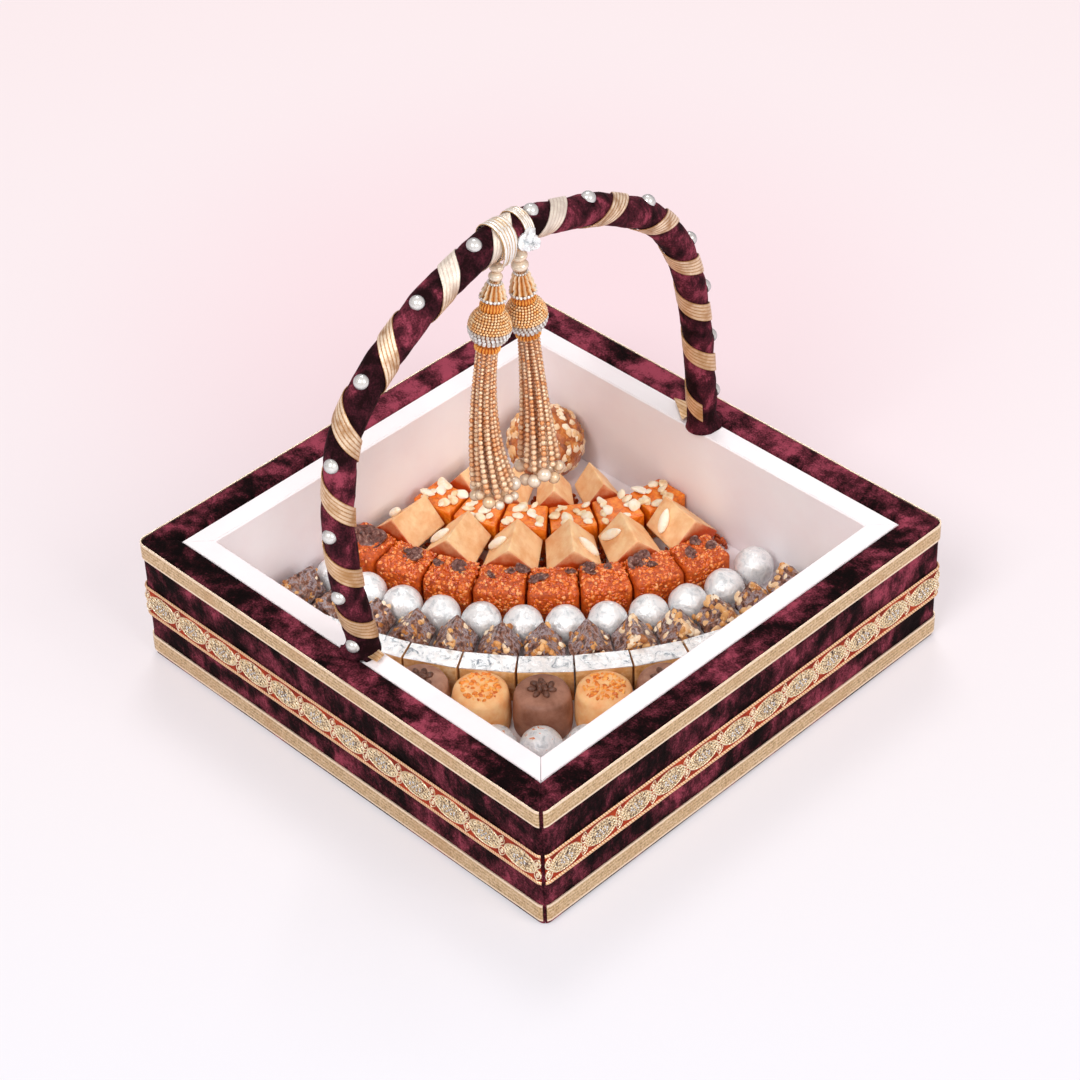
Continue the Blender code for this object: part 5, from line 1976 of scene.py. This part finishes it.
def spaced(count: int, pitch: float, middle: float = FAN_MIDDLE) -> list[float]:
    """Angles of a row, even about a middle one, in degrees."""
    return [middle + pitch * (number - (count - 1) / 2) for number in range(count)]


def seat(degrees: float, radius: float) -> Matrix:
    """Frame of a sweet: X along its row, Y outwards, Z up, on the tray's floor.

    Args:
        degrees: its angle from +X towards -Y.
        radius: its distance from the fan's centre.

    Returns:
        The frame as a matrix.
    """
    out = round_z(1, -math.radians(degrees))
    place = FAN_CENTRE + radius * out + Vector((0, 0, SWEETS_BASE))
    return Matrix.Translation(place) @ axes(Vector((-out.y, out.x, 0)), out, Vector((0, 0, 1)))


@dataclass
class FanRow:
    """A row of sweets in an arc about the fan's centre."""

    node: str
    radius: float
    width: float
    height: float
    angles: list[float]
    flare: float = 1.0

    @property
    def half_side(self) -> float:
        """Half of a block's size along the row, at the row's middle radius.

        Returns:
            The size.
        """
        pitch = math.radians(self.angles[1] - self.angles[0])
        room = (self.radius - self.width / 2) * math.tan(pitch / 2) - 0.35 * MM
        return room / (1 - self.flare * self.width / 2 / self.radius)

    @property
    def seats(self) -> list[Matrix]:
        """Frames of the row's sweets."""
        return [seat(degrees, self.radius) for degrees in self.angles]

    def flare_ends(self, model: Piece) -> None:
        """Make a block wider at its outer side and narrower at its inner side.

        Args:
            model: the block.
        """
        for sign in (-1, 1):
            BENCH.pick(model, "FACE", lambda f: f.normal.y * sign > 0.9)
            BENCH.stretch(1 + sign * self.flare * self.width / 2 / self.radius, 1, 1)

    def block(self, edge: float, cuts: int, on_edge: bool = False) -> Piece:
        """Make one cut block on the floor, wider at its outer side.

        Args:
            edge: how far its edges are rounded.
            cuts: how often its faces are divided.
            on_edge: whether it stands on its lowest edge, with its upper edge along Y.

        Returns:
            The model, standing at the origin.
        """
        if on_edge:
            model = BENCH.box("ridge_block", (1, self.width, 1), (0, 0, 0))
            BENCH.pick(model, "VERT")
            bpy.ops.transform.rotate(value=math.radians(45), orient_axis="Y", center_override=(0, 0, 0))
            grow = math.sqrt(2)
            BENCH.stretch(grow * self.half_side, 1, grow * self.height / 2)
            bpy.ops.transform.translate(value=(0, 0, self.height / 2))
        else:
            model = BENCH.box("block", (2 * self.half_side, self.width, self.height),
                (0, 0, self.height / 2))
        self.flare_ends(model)
        BENCH.pick(model, "EDGE")
        BENCH.bevel(edge, 3)
        BENCH.pick(model, "FACE", lambda f: f.calc_area() > 40 * MM * MM)
        bpy.ops.mesh.subdivide(number_cuts=cuts)
        BENCH.clear()
        return model

    def place_all(self, name: str, model: Piece, seed: int, jitter: float) -> Piece:
        """Copy a model to every place of the row, each a little off.

        Args:
            name: the row's name.
            model: the sweet.
            seed: seed of the small differences.
            jitter: greatest turn in degrees.

        Returns:
            The row as one object.
        """
        chance = random.Random(seed)
        return BENCH.repeat(name, model,
            [(frame_matrix @ about("Z", chance.uniform(-jitter, jitter))
            @ Matrix.Scale(chance.uniform(0.97, 1.0), 4), chance.random())
            for frame_matrix in self.seats])


def scatter(chance: random.Random, *reach: float) -> list[float]:
    """A random number for each reach, up to so much either way."""
    return [chance.uniform(-most, most) for most in reach]


def nut_model(kind: str) -> Piece:
    """Model of a piece of nut about 1 unit long.

    Args:
        kind: half for a split almond, slice for a flat slice.

    Returns:
        The model.
    """
    if kind == "half":
        model = BENCH.ball("almond_half", (0.21, 0.5, 0.16), 16, 12)
        for vertex in model.data.vertices:
            vertex.co.x *= 1 - 0.5 * max(0.0, vertex.co.y / 0.5) ** 2
        return model
    model = BENCH.ball("nut_slice", (0.3, 0.5, 0.12), 12, 7)
    for vertex in model.data.vertices:
        vertex.co.x += 0.16 * (vertex.co.y / 0.5) ** 2
        vertex.co.z += 0.05 * noise.noise(vertex.co * 5)
    return model


def chunk_models(seed: int, flat: float = 0.62) -> list[Piece]:
    """Models of four broken pieces about 1 unit long, each with its own facets.

    Args:
        seed: seed of their shapes.
        flat: their thickness as a share of their length.

    Returns:
        The models.
    """
    chance = random.Random(seed)
    models = []
    for _ in range(4):
        model = BENCH.add("chunk", "ico_sphere", subdivisions=1, radius=0.5)
        for vertex in model.data.vertices:
            vertex.co *= chance.uniform(0.72, 1.12)
            vertex.co.x *= 0.72
            vertex.co.z *= flat
        BENCH.pick(model, "EDGE")
        BENCH.bevel(0.04, 1)
        BENCH.clear()
        models.append(model)
    return models


@dataclass
class Sweets:
    """The fan of sweets: one method for each kind of row."""

    ball_radius: float = 22.2 * MM
    nuts_on_ball: int = 330
    crumbs_a_gap: int = 34
    slices_a_square: int = 10
    grains_a_block: int = 440
    grain_edge: float = 3.2 * MM
    coarse_blocks: int = 5
    peel_a_peda: int = 110

    def give(self, obj: Piece, finish: Finish, slot: str, node: str = "", smooth: float = 60) -> None:
        """Attach a row or its topping to the tray.

        Args:
            obj: the row.
            finish: its finish.
            slot: not used.
            node: the node that it stands for, if any.
            smooth: greatest angle in degrees over which shading stays smooth.
        """
        BENCH.deliver(obj, finish, "tray", [node] if node else (), smooth)

    def laddoo(self) -> None:
        """Make the large nut ball: roasted paste studded with broken nuts."""
        radius = self.ball_radius
        centre = FAN_CENTRE + Vector((22 * MM, -27.5 * MM, SWEETS_BASE + 22.3 * MM))
        ball = BENCH.ball("nut_laddoo", (radius, radius, radius), 64, 44)
        BENCH.cut(ball, (0, 0, -1), [(0, 0, -22.1 * MM)], drop=True, fill=True)
        ball.data.transform(Matrix.Translation(centre))
        BENCH.roughen(ball, 7, 2.0)
        BENCH.roughen(ball, 2.6, 0.9)
        self.give(ball, LADDOO, "nut_laddoo", "laddoo")
        chance = random.Random(21)
        places: Places = []
        for _ in range(self.nuts_on_ball):
            normal = Vector((chance.gauss(0, 1), chance.gauss(0, 1), chance.gauss(0.2, 0.9))).normalized()
            if normal.z < -0.75:
                continue
            size = chance.uniform(2.6, 9.5) * MM
            places.append((lie_on(Matrix.Translation(centre), normal * radius, normal,
                chance.uniform(0, 6.3), size, 0.12 * size), chance.random() ** 0.8))
        nuts = BENCH.repeat("laddoo_nuts", chunk_models(22), places)
        self.give(nuts, NUT_CHUNK, "nut_laddoo", smooth=25)

    def burfi_row(self, name: str, row: FanRow,
            almonds: Sequence[tuple[int, float, float, float]]) -> None:
        """Make cubes of milk fudge on edge, some with a split almond, and the crumbs between.

        Args:
            name: the row's name.
            row: its places and sizes.
            almonds: for each, the block's number, which roof face (-1 or 1), its place along
                the ridge from -1 to 1 and its turn in degrees.
        """
        blocks = row.place_all(name, row.block(0.9 * MM, 7, on_edge=True), seed=31, jitter=1.5)
        BENCH.roughen(blocks, 6, 0.7)
        self.give(blocks, BURFI, "burfi", row.node, smooth=50)
        places: Places = []
        slope = math.atan2(row.height / 2, row.half_side)
        for number, face, along, turn in almonds:
            normal = Vector((face * math.sin(slope), 0, math.cos(slope)))
            middle = Vector((face * row.half_side * 0.55, along * row.width / 2, row.height * 0.725))
            places.append((lie_on(row.seats[number], middle, normal, math.radians(turn), 15 * MM,
                -1.2 * MM), 0.9))
        if places:
            nuts = BENCH.repeat(name + "_almonds", nut_model("half"), places)
            self.give(nuts, NUT_SLICE, "burfi")
        self.crumbs(row)

    def crumbs(self, row: FanRow) -> None:
        """Fill the gaps between the blocks of a row of fudge with orange crumbs.

        Args:
            row: its places and sizes.
        """
        chance = random.Random(61)
        places: Places = []
        step = row.angles[1] - row.angles[0]
        for number in range(len(row.angles) + 1):
            middle = row.angles[0] + (number - 0.5) * step
            for _ in range(self.crumbs_a_gap):
                spot = seat(middle + chance.gauss(0, 1.2), row.radius
                    + chance.uniform(-0.55, 0.62) * row.width)
                size = chance.uniform(2.6, 6.0) * MM
                normal = Vector(scatter(chance, 1, 1, 1)).normalized()
                places.append((lie_on(spot, Vector((0, 0, chance.uniform(0.8, 6.5) * MM)), normal,
                    chance.uniform(0, 6), size), chance.random()))
        crumbs = BENCH.repeat(f"{row.node}_crumbs", chunk_models(62, 0.7), places)
        self.give(crumbs, GRAIN_PASTE, "motichoor", smooth=25)

    def nut_squares(self, row: FanRow) -> None:
        """Make orange squares with pale nut slices pressed into their tops.

        Args:
            row: its places and sizes.
        """
        blocks = row.place_all("orange_nut_squares", row.block(1.2 * MM, 9), seed=32, jitter=4)
        BENCH.roughen(blocks, 4, 1.2)
        self.give(blocks, NUT_SQUARE, "orange_square", row.node)
        chance = random.Random(33)
        places: Places = []
        for spot in row.seats:
            for number in range(self.slices_a_square):
                x = (-0.5 + number % 2 + chance.uniform(-0.32, 0.32)) * row.half_side
                y = (-0.76 + 0.37 * (number // 2) + chance.uniform(-0.15, 0.15)) * row.width / 2
                normal = Vector((*scatter(chance, 0.4, 0.4), 1))
                places.append((lie_on(spot, Vector((x, y, row.height)), normal, chance.uniform(0, 3.1),
                    chance.uniform(6.0, 11.5) * MM, -0.4 * MM), chance.uniform(0.2, 1)))
        nuts = BENCH.repeat("square_nut_slices", [nut_model("slice"), *chunk_models(34, 0.35)], places)
        self.give(nuts, NUT_SLICE, "orange_square", smooth=35)

    def grain_squares(self, row: FanRow) -> None:
        """Make blocks of small syrup-soaked grains with dried slices on top.

        Args:
            row: its places and sizes.
        """
        edge = self.grain_edge
        blocks = row.place_all("grain_square_paste", row.block(edge, 8), seed=34, jitter=1.5)
        BENCH.roughen(blocks, 5, 1.4)
        self.give(blocks, GRAIN_PASTE, "motichoor", row.node)
        chance = random.Random(35)
        places: Places = []
        half, deep, tall = [size - 0.4 * MM for size in (row.half_side, row.width / 2, row.height)]
        low, high = (edge - half, edge - deep, 0), (half - edge, deep - edge, tall - edge)
        for spot in row.seats:
            for _ in range(self.grains_a_block):
                x, y = scatter(chance, half, deep)
                face = chance.random()
                if face < 0.45:
                    point, normal = Vector((x, y, tall)), Vector((0, 0, 1))
                elif face < 0.83:
                    point = Vector((x, deep, chance.uniform(1 * MM, tall)))
                    normal = Vector((0, 1, 0))
                elif face < 0.89:
                    point = Vector((x, -deep, chance.uniform(0.5 * tall, tall)))
                    normal = Vector((0, -1, 0))
                else:
                    sign = chance.choice((-1, 1))
                    point = Vector((sign * half, y, chance.uniform(0.3 * tall, tall)))
                    normal = Vector((sign, 0, 0))
                core = Vector([bounded(*place) for place in zip(point, low, high)])
                soft = core + (point - core).normalized() * min((point - core).length, edge)
                normal += 0.6 * (soft - Vector((0, 0, tall / 2))).normalized()
                normal += 0.5 * Vector(scatter(chance, 1, 1, 1))
                places.append((lie_on(spot, soft, normal, chance.uniform(0, 3.1),
                    chance.uniform(2.0, 3.4) * MM, 0.1 * MM), chance.random()))
        grains = BENCH.repeat("grain_square_grains", BENCH.ball("grain", (0.34, 0.5, 0.3), 7, 5), places)
        self.give(grains, GRAIN, "motichoor")
        self.dried_slices(row)

    def dried_slices(self, row: FanRow) -> None:
        """Lay dried slices on the back edges of the grain squares, a large one on the last.

        Args:
            row: its places and sizes.
        """
        chance = random.Random(36)
        places: Places = []
        for spot in row.seats[:-1]:
            for _ in range(3):
                x = chance.uniform(-0.9, 0.9) * row.half_side
                y = chance.uniform(-0.85, 0.1) * row.width / 2
                normal = Vector((chance.uniform(-0.5, 0.5), chance.uniform(-0.4, 0.6), 1))
                places.append((lie_on(spot, Vector((x, y, row.height + 0.2 * MM)), normal,
                    chance.uniform(0, 6), chance.uniform(6, 12) * MM), chance.random()))
        places.append((lie_on(row.seats[-1], Vector((0, -1 * MM, row.height + 0.4 * MM)),
            Vector((0.1, 0.15, 1)), 0.4, 22 * MM), 0.5))
        model = BENCH.ball("dried_slice", (0.5, 0.4, 0.09), 22, 12)
        for vertex in model.data.vertices:
            turn = math.atan2(vertex.co.y, vertex.co.x)
            vertex.co.z += 0.05 * math.cos(vertex.co.xy.length * 26) + 0.03 * math.sin(7 * turn)
            vertex.co.x *= 1 + 0.12 * math.sin(3 * turn + 1)
        slices = BENCH.repeat("dried_fruit_slices", model, places)
        BENCH.roughen(slices, 2.5, 1.1)
        self.give(slices, DRIED_SLICE, "motichoor")

    def silver_balls(self, name: str, node: str, ball: float, places_mm: Sequence[tuple[float, float]],
            finish: Finish) -> None:
        """Make round sweets wrapped in silver leaf.

        Args:
            name: the row's name.
            node: the node that it stands for.
            ball: a ball's radius.
            places_mm: each ball's distance from the fan's centre in mm and its angle in degrees.
            finish: the leaf.
        """
        chance = random.Random(41)
        axis = Vector((0.3, 0.2, 1)).normalized()
        places: Places = []
        for radius, degrees in places_mm:
            turn = Matrix.Rotation(chance.uniform(0, 6), 4, axis)
            places.append((seat(degrees, radius * MM) @ shift(0, 0, 0.97 * ball) @ turn, chance.random()))
        balls = BENCH.repeat(name, BENCH.ball("leaf_ball", (ball * 0.975,) * 3, 36, 24), places)
        BENCH.roughen(balls, 6, 0.7)
        BENCH.roughen(balls, 2.4, 0.35)
        self.give(balls, finish, "silver_leaf", node)

    def date_ridges(self, row: FanRow) -> None:
        """Make cubes of date paste on edge, full of chopped nuts, coarser in the first ones.

        Args:
            row: its places and sizes.
        """
        blocks = row.place_all("date_nut_cubes", row.block(1.6 * MM, 10, on_edge=True), seed=51, jitter=4)
        BENCH.roughen(blocks, 6, 3.2)
        BENCH.roughen(blocks, 2.2, 1.3)
        self.give(blocks, DATE_PASTE, "date_nut", row.node, smooth=40)
        chance = random.Random(52)
        places: Places = []
        for number, spot in enumerate(row.seats):
            coarse = number < self.coarse_blocks
            count, sizes, paleness = (60, (4.0, 9.5), 0.8) if coarse else (38, (2.4, 7.5), 1.3)
            for _ in range(count):
                roof = chance.choice((-1, 1, 0))
                share = chance.uniform(0.05, 0.95)
                along = chance.uniform(-1, 1)
                reach = row.half_side * (1 - share)
                x, y = (roof * reach, along * row.width / 2) if roof else (along * reach, row.width / 2)
                point = Vector((x, y, row.height * (0.5 + 0.5 * share)))
                normal = Vector((roof, 0, 1)) if roof else Vector((0, 1, 0.2))
                normal += Vector(scatter(chance, 0.6, 0.6, 0.6))
                size = chance.uniform(*sizes) * MM
                places.append((lie_on(spot, point, normal, chance.uniform(0, 6), size, 0.22 * size),
                    chance.random() ** paleness))
        nuts = BENCH.repeat("date_nut_chunks", chunk_models(53, 0.5), places)
        self.give(nuts, NUT_CHUNK, "date_nut", smooth=25)

    def silver_bars(self, row: FanRow) -> None:
        """Make bars of nut paste with silver leaf on top.

        Args:
            row: its places and sizes.
        """
        bars = row.place_all("nut_paste_bars", row.block(0.9 * MM, 5), seed=61, jitter=0.6)
        BENCH.roughen(bars, 5, 0.5)
        self.give(bars, BAR_SIDE, "silver_leaf", row.node, smooth=50)
        model = BENCH.box("leaf_top", (2 * row.half_side, row.width, 0.5 * MM),
            (0, 0, row.height + 0.05 * MM))
        row.flare_ends(model)
        BENCH.pick(model, "FACE", lambda f: f.normal.z > 0.9)
        bpy.ops.mesh.inset(thickness=0.6 * MM)
        bpy.ops.mesh.subdivide(number_cuts=11)
        BENCH.clear()
        leaves = row.place_all("silver_leaf_tops", model, seed=61, jitter=0.6)
        BENCH.roughen(leaves, 3, 0.7)
        self.give(leaves, LEAF_BAR, "silver_leaf", smooth=50)

    def peda_body(self, radius: float, height: float) -> Piece:
        """Make one drum-shaped sweet with a domed top.

        Args:
            radius: its radius.
            height: its height.

        Returns:
            The model, standing at the origin.
        """
        side = height * 0.8
        model = BENCH.add("peda", "cylinder", vertices=48, radius=radius, depth=side,
            location=(0, 0, side / 2))
        BENCH.pick(model, "FACE", lambda f: f.normal.z > 0.9)
        for inset, rise in ((0.08, 0.09), (0.14, 0.07), (0.22, 0.035), (0.3, 0.01)):
            bpy.ops.mesh.inset(thickness=inset * radius)
            bpy.ops.transform.translate(value=(0, 0, rise * height))
        BENCH.pick(model, "FACE", lambda f: f.normal.z < -0.9)
        bpy.ops.mesh.inset(thickness=0.1 * radius)
        BENCH.stretch(0.97, 0.97, 1)
        BENCH.clear()
        BENCH.cut(model, (0, 0, 1), [(0, 0, height * k / 10) for k in range(1, 8)])
        for vertex in model.data.vertices:
            share = vertex.co.z / side
            if share <= 1.001 and vertex.co.xy.length > 0.9 * radius:
                vertex.co.xy = vertex.co.xy * (0.93
                    + 0.07 * math.sin(math.pi * min(share * 0.9 + 0.1, 1)))
        BENCH.modify(model, "SUBSURF", levels=1, render_levels=1)
        return model

    def flower_model(self, radius: float) -> Piece:
        """Make a loose cluster of plump seeds, flat on the origin.

        Args:
            radius: its radius.

        Returns:
            The model.
        """
        chance = random.Random(73)
        petals = []
        for ring, count, reach, size in ((0, 7, 0.62, 0.36), (1, 4, 0.22, 0.32)):
            for number in range(count):
                angle = 2 * math.pi * (number + ring / 2 + chance.uniform(-0.2, 0.2)) / count
                petal = BENCH.ball("petal", (size * 0.62 * radius, size * radius, 0.24 * radius), 12, 8)
                petal.data.transform(Matrix.Rotation(angle, 4, "Z")
                    @ shift(0, reach * radius, 0.12 * radius * ring)
                    @ Matrix.Rotation(chance.uniform(-0.7, 0.7), 4, "Z") @ Matrix.Rotation(0.35, 4, "X"))
                petals.append(petal)
        return BENCH.join("flower_model", petals)

    def pedas(self, row: FanRow) -> None:
        """Make domed pedas: peach ones with candied peel, brown ones with pressed seeds.

        Args:
            row: its places and sizes.
        """
        kinds = (PEDA_BROWN, PEDA_PEACH, PEDA_CHOCOLATE, PEDA_PEACH, PEDA_BROWN)
        radius = row.width / 2
        model = self.peda_body(radius - 0.3 * MM, row.height)
        chance = random.Random(71)
        by_kind: dict[Finish, Places] = {}
        flowers: Places = []
        crumbs: Places = []
        for place, kind in zip(row.seats, kinds):
            spot = place @ Matrix.Rotation(chance.uniform(0, 6), 4, "Z")
            by_kind.setdefault(kind, []).append((spot, chance.random()))
            if kind is not PEDA_PEACH:
                flowers.append((spot @ shift(0, 0, row.height * 0.995), chance.random()))
                continue
            for _ in range(self.peel_a_peda):
                reach = radius * 0.66 * math.sqrt(chance.random())
                at = round_z(reach, chance.uniform(0, 2 * math.pi),
                    row.height * (1.0 - 0.06 * (reach / radius) ** 2))
                tilt = Vector((*scatter(chance, 0.6, 0.6), 1))
                crumbs.append((lie_on(spot, at, tilt, chance.uniform(0, 6),
                    chance.uniform(2.0, 4.4) * MM), chance.random()))
        node = row.node
        for kind, places in by_kind.items():
            bodies = BENCH.repeat(kind.name + "_bodies", BENCH.copy(model, "peda_copy"), places)
            BENCH.roughen(bodies, 8, 0.5)
            self.give(bodies, kind, "peda", node)
            node = ""
        bpy.data.objects.remove(model)
        seeds = BENCH.repeat("pressed_seed_flowers", self.flower_model(0.5 * radius), flowers)
        self.give(seeds, SEED, "peda")
        peel = BENCH.repeat("candied_peel_crumbs", chunk_models(72, 0.5), crumbs)
        self.give(peel, SAFFRON, "peda", smooth=25)

    def build(self) -> None:
        """Make the large ball and the nine rows, from the corner outwards."""
        self.laddoo()
        self.burfi_row("inner_fudge_cubes", FanRow("inner_burfi_row", 77 * MM, 24 * MM, 29 * MM,
            spaced(4, 18.4, 53.6), 0.5), [])
        self.nut_squares(FanRow("nut_square_row", 102.3 * MM, 21.4 * MM, 21 * MM, spaced(6, 14.6), 0.8))
        self.burfi_row("outer_fudge_cubes", FanRow("outer_burfi_row", 129.6 * MM, 30 * MM, 30 * MM,
            spaced(6, 14.4, 47.6), 0.6), [(5, -1, 0.1, 15), (4, -1, 0.3, -10), (3, -1, 0.0, 8),
            (2, 1, 0.2, 20), (1, -1, -0.3, 30), (0, -1, -0.2, -25)])
        self.grain_squares(FanRow("motichoor_row", 158.4 * MM, 24 * MM, 22 * MM, spaced(8, 10.2, 50.3)))
        silver = [(177.5, 6.3), (182.8, 14.1)] + [(184.3, a) for a in spaced(10, 7.2, 53.9)]
        self.silver_balls("silver_leaf_balls", "silver_ball_row", 11.5 * MM, silver, LEAF_BALL)
        self.date_ridges(FanRow("date_nut_row", 208 * MM, 21 * MM, 27 * MM, spaced(13, 6.8)))
        self.silver_bars(FanRow("silver_bar_row", 227 * MM, 13 * MM, 21 * MM, spaced(11, 7.7, 46.2)))
        self.pedas(FanRow("peda_row", 252 * MM, 33 * MM, 26 * MM, spaced(5, 7.45)))
        front = [(282.3, angle) for angle in spaced(5, 4.87)]
        self.silver_balls("front_leaf_balls", "front_ball_row", 12.1 * MM, front, TORN_LEAF)


# Studio


@dataclass
class Studio:
    """Pale floor, soft light and the camera."""

    azimuth: float = 8.06241786e-01
    elevation: float = 6.87219075e-01
    roll: float = -3.71155708e-02
    distance: float = 5.44218542 * 0.305
    target: tuple[float, float, float] = (1.99765748e-02 * 0.305, -1.92180557e-02 * 0.305, 0.08)
    focal_pixels: float = 3111.61481
    picture_pixels: float = 1080.0
    sensor: float = 36.0

    def build_camera(self) -> None:
        """Set the camera at the photographed view."""
        across = round_z(math.cos(self.elevation), self.azimuth - math.pi / 2)
        back = across + Vector((0, 0, math.sin(self.elevation)))
        right = round_z(1, self.azimuth)
        up = back.cross(right)
        c, s = math.cos(self.roll), math.sin(self.roll)
        matrix = axes(c * right + s * up, -s * right + c * up, back)
        matrix.translation = Vector(self.target) + back * self.distance
        data = bpy.data.cameras.new("view")
        data.sensor_width = self.sensor
        data.lens = self.focal_pixels / self.picture_pixels * self.sensor
        data.clip_start = 0.01
        camera = bpy.data.objects.new("view", data)
        camera.matrix_world = matrix
        bpy.context.scene.collection.objects.link(camera)
        bpy.context.scene.camera = camera

    def build_floor(self) -> None:
        """Lay a large pale floor."""
        floor = BENCH.add("floor", "plane", size=12, location=(0, 0, -0.2 * MM))
        floor.data.materials.append(PAPER.build())
        BENCH.clear()

    def add_lamp(self, name: str, at: Sequence[float], size: float, watts: float) -> None:
        """Add a soft square lamp that points at the tray.

        Args:
            name: its name.
            at: its place.
            size: its side.
            watts: its power.
        """
        data = bpy.data.lights.new(name, "AREA")
        data.size = size
        data.energy = watts
        lamp = bpy.data.objects.new(name, data)
        lamp.location = at
        aim = Vector((0, 0, 0.08)) - Vector(at)
        lamp.rotation_euler = aim.to_track_quat("-Z", "Y").to_euler()
        bpy.context.scene.collection.objects.link(lamp)

    def build(self) -> None:
        """Set up floor, world, lamps and camera."""
        world = bpy.data.worlds.new("studio")
        bpy.context.scene.world = world
        world.use_nodes = True
        connect(world.node_tree.nodes["Background"], {"Color": linear("#fff6f3"), "Strength": 0.38})
        self.build_floor()
        self.add_lamp("key", (0.7, -2.6, 3.0), 1.6, 80)
        self.add_lamp("fill", (3.2, 0.2, 2.3), 2.2, 66)
        self.add_lamp("top", (-1.5, 1.5, 3.4), 1.2, 38)
        self.build_camera()
        bpy.context.scene.view_settings.view_transform = "Standard"


def main() -> None:
    """Build the scene in order."""
    logging.basicConfig(level=logging.INFO, format="%(message)s")
    Studio().build()
    Tray().build()
    Handle().build()
    first = Tassel("tassel_a", y=-22 * MM, lean=-11.2, dome_depth=37.6 * MM, neck_bottom=12.2 * MM,
        cap_height=9.6 * MM, rises_mm=(9, 7, 11, 8, 13, 8, 7, 10, 8, 12), foot_y=-31.5 * MM,
        mount_width=10 * MM, mount_ribs=4)
    first.build()
    first.build_drop()
    second = Tassel("tassel_b", y=-8 * MM, lean=5.3, dome_depth=43 * MM, neck_bottom=14.4 * MM,
        cap_height=13.5 * MM, rises_mm=(4, 8, 3, 10, 5, 12, 7, 4, 9, 3), foot_y=1.5 * MM,
        mount_width=6 * MM, mount_ribs=3)
    second.build()
    second.build_knot()
    Sweets().build()


if __name__ == "__main__":
    main()
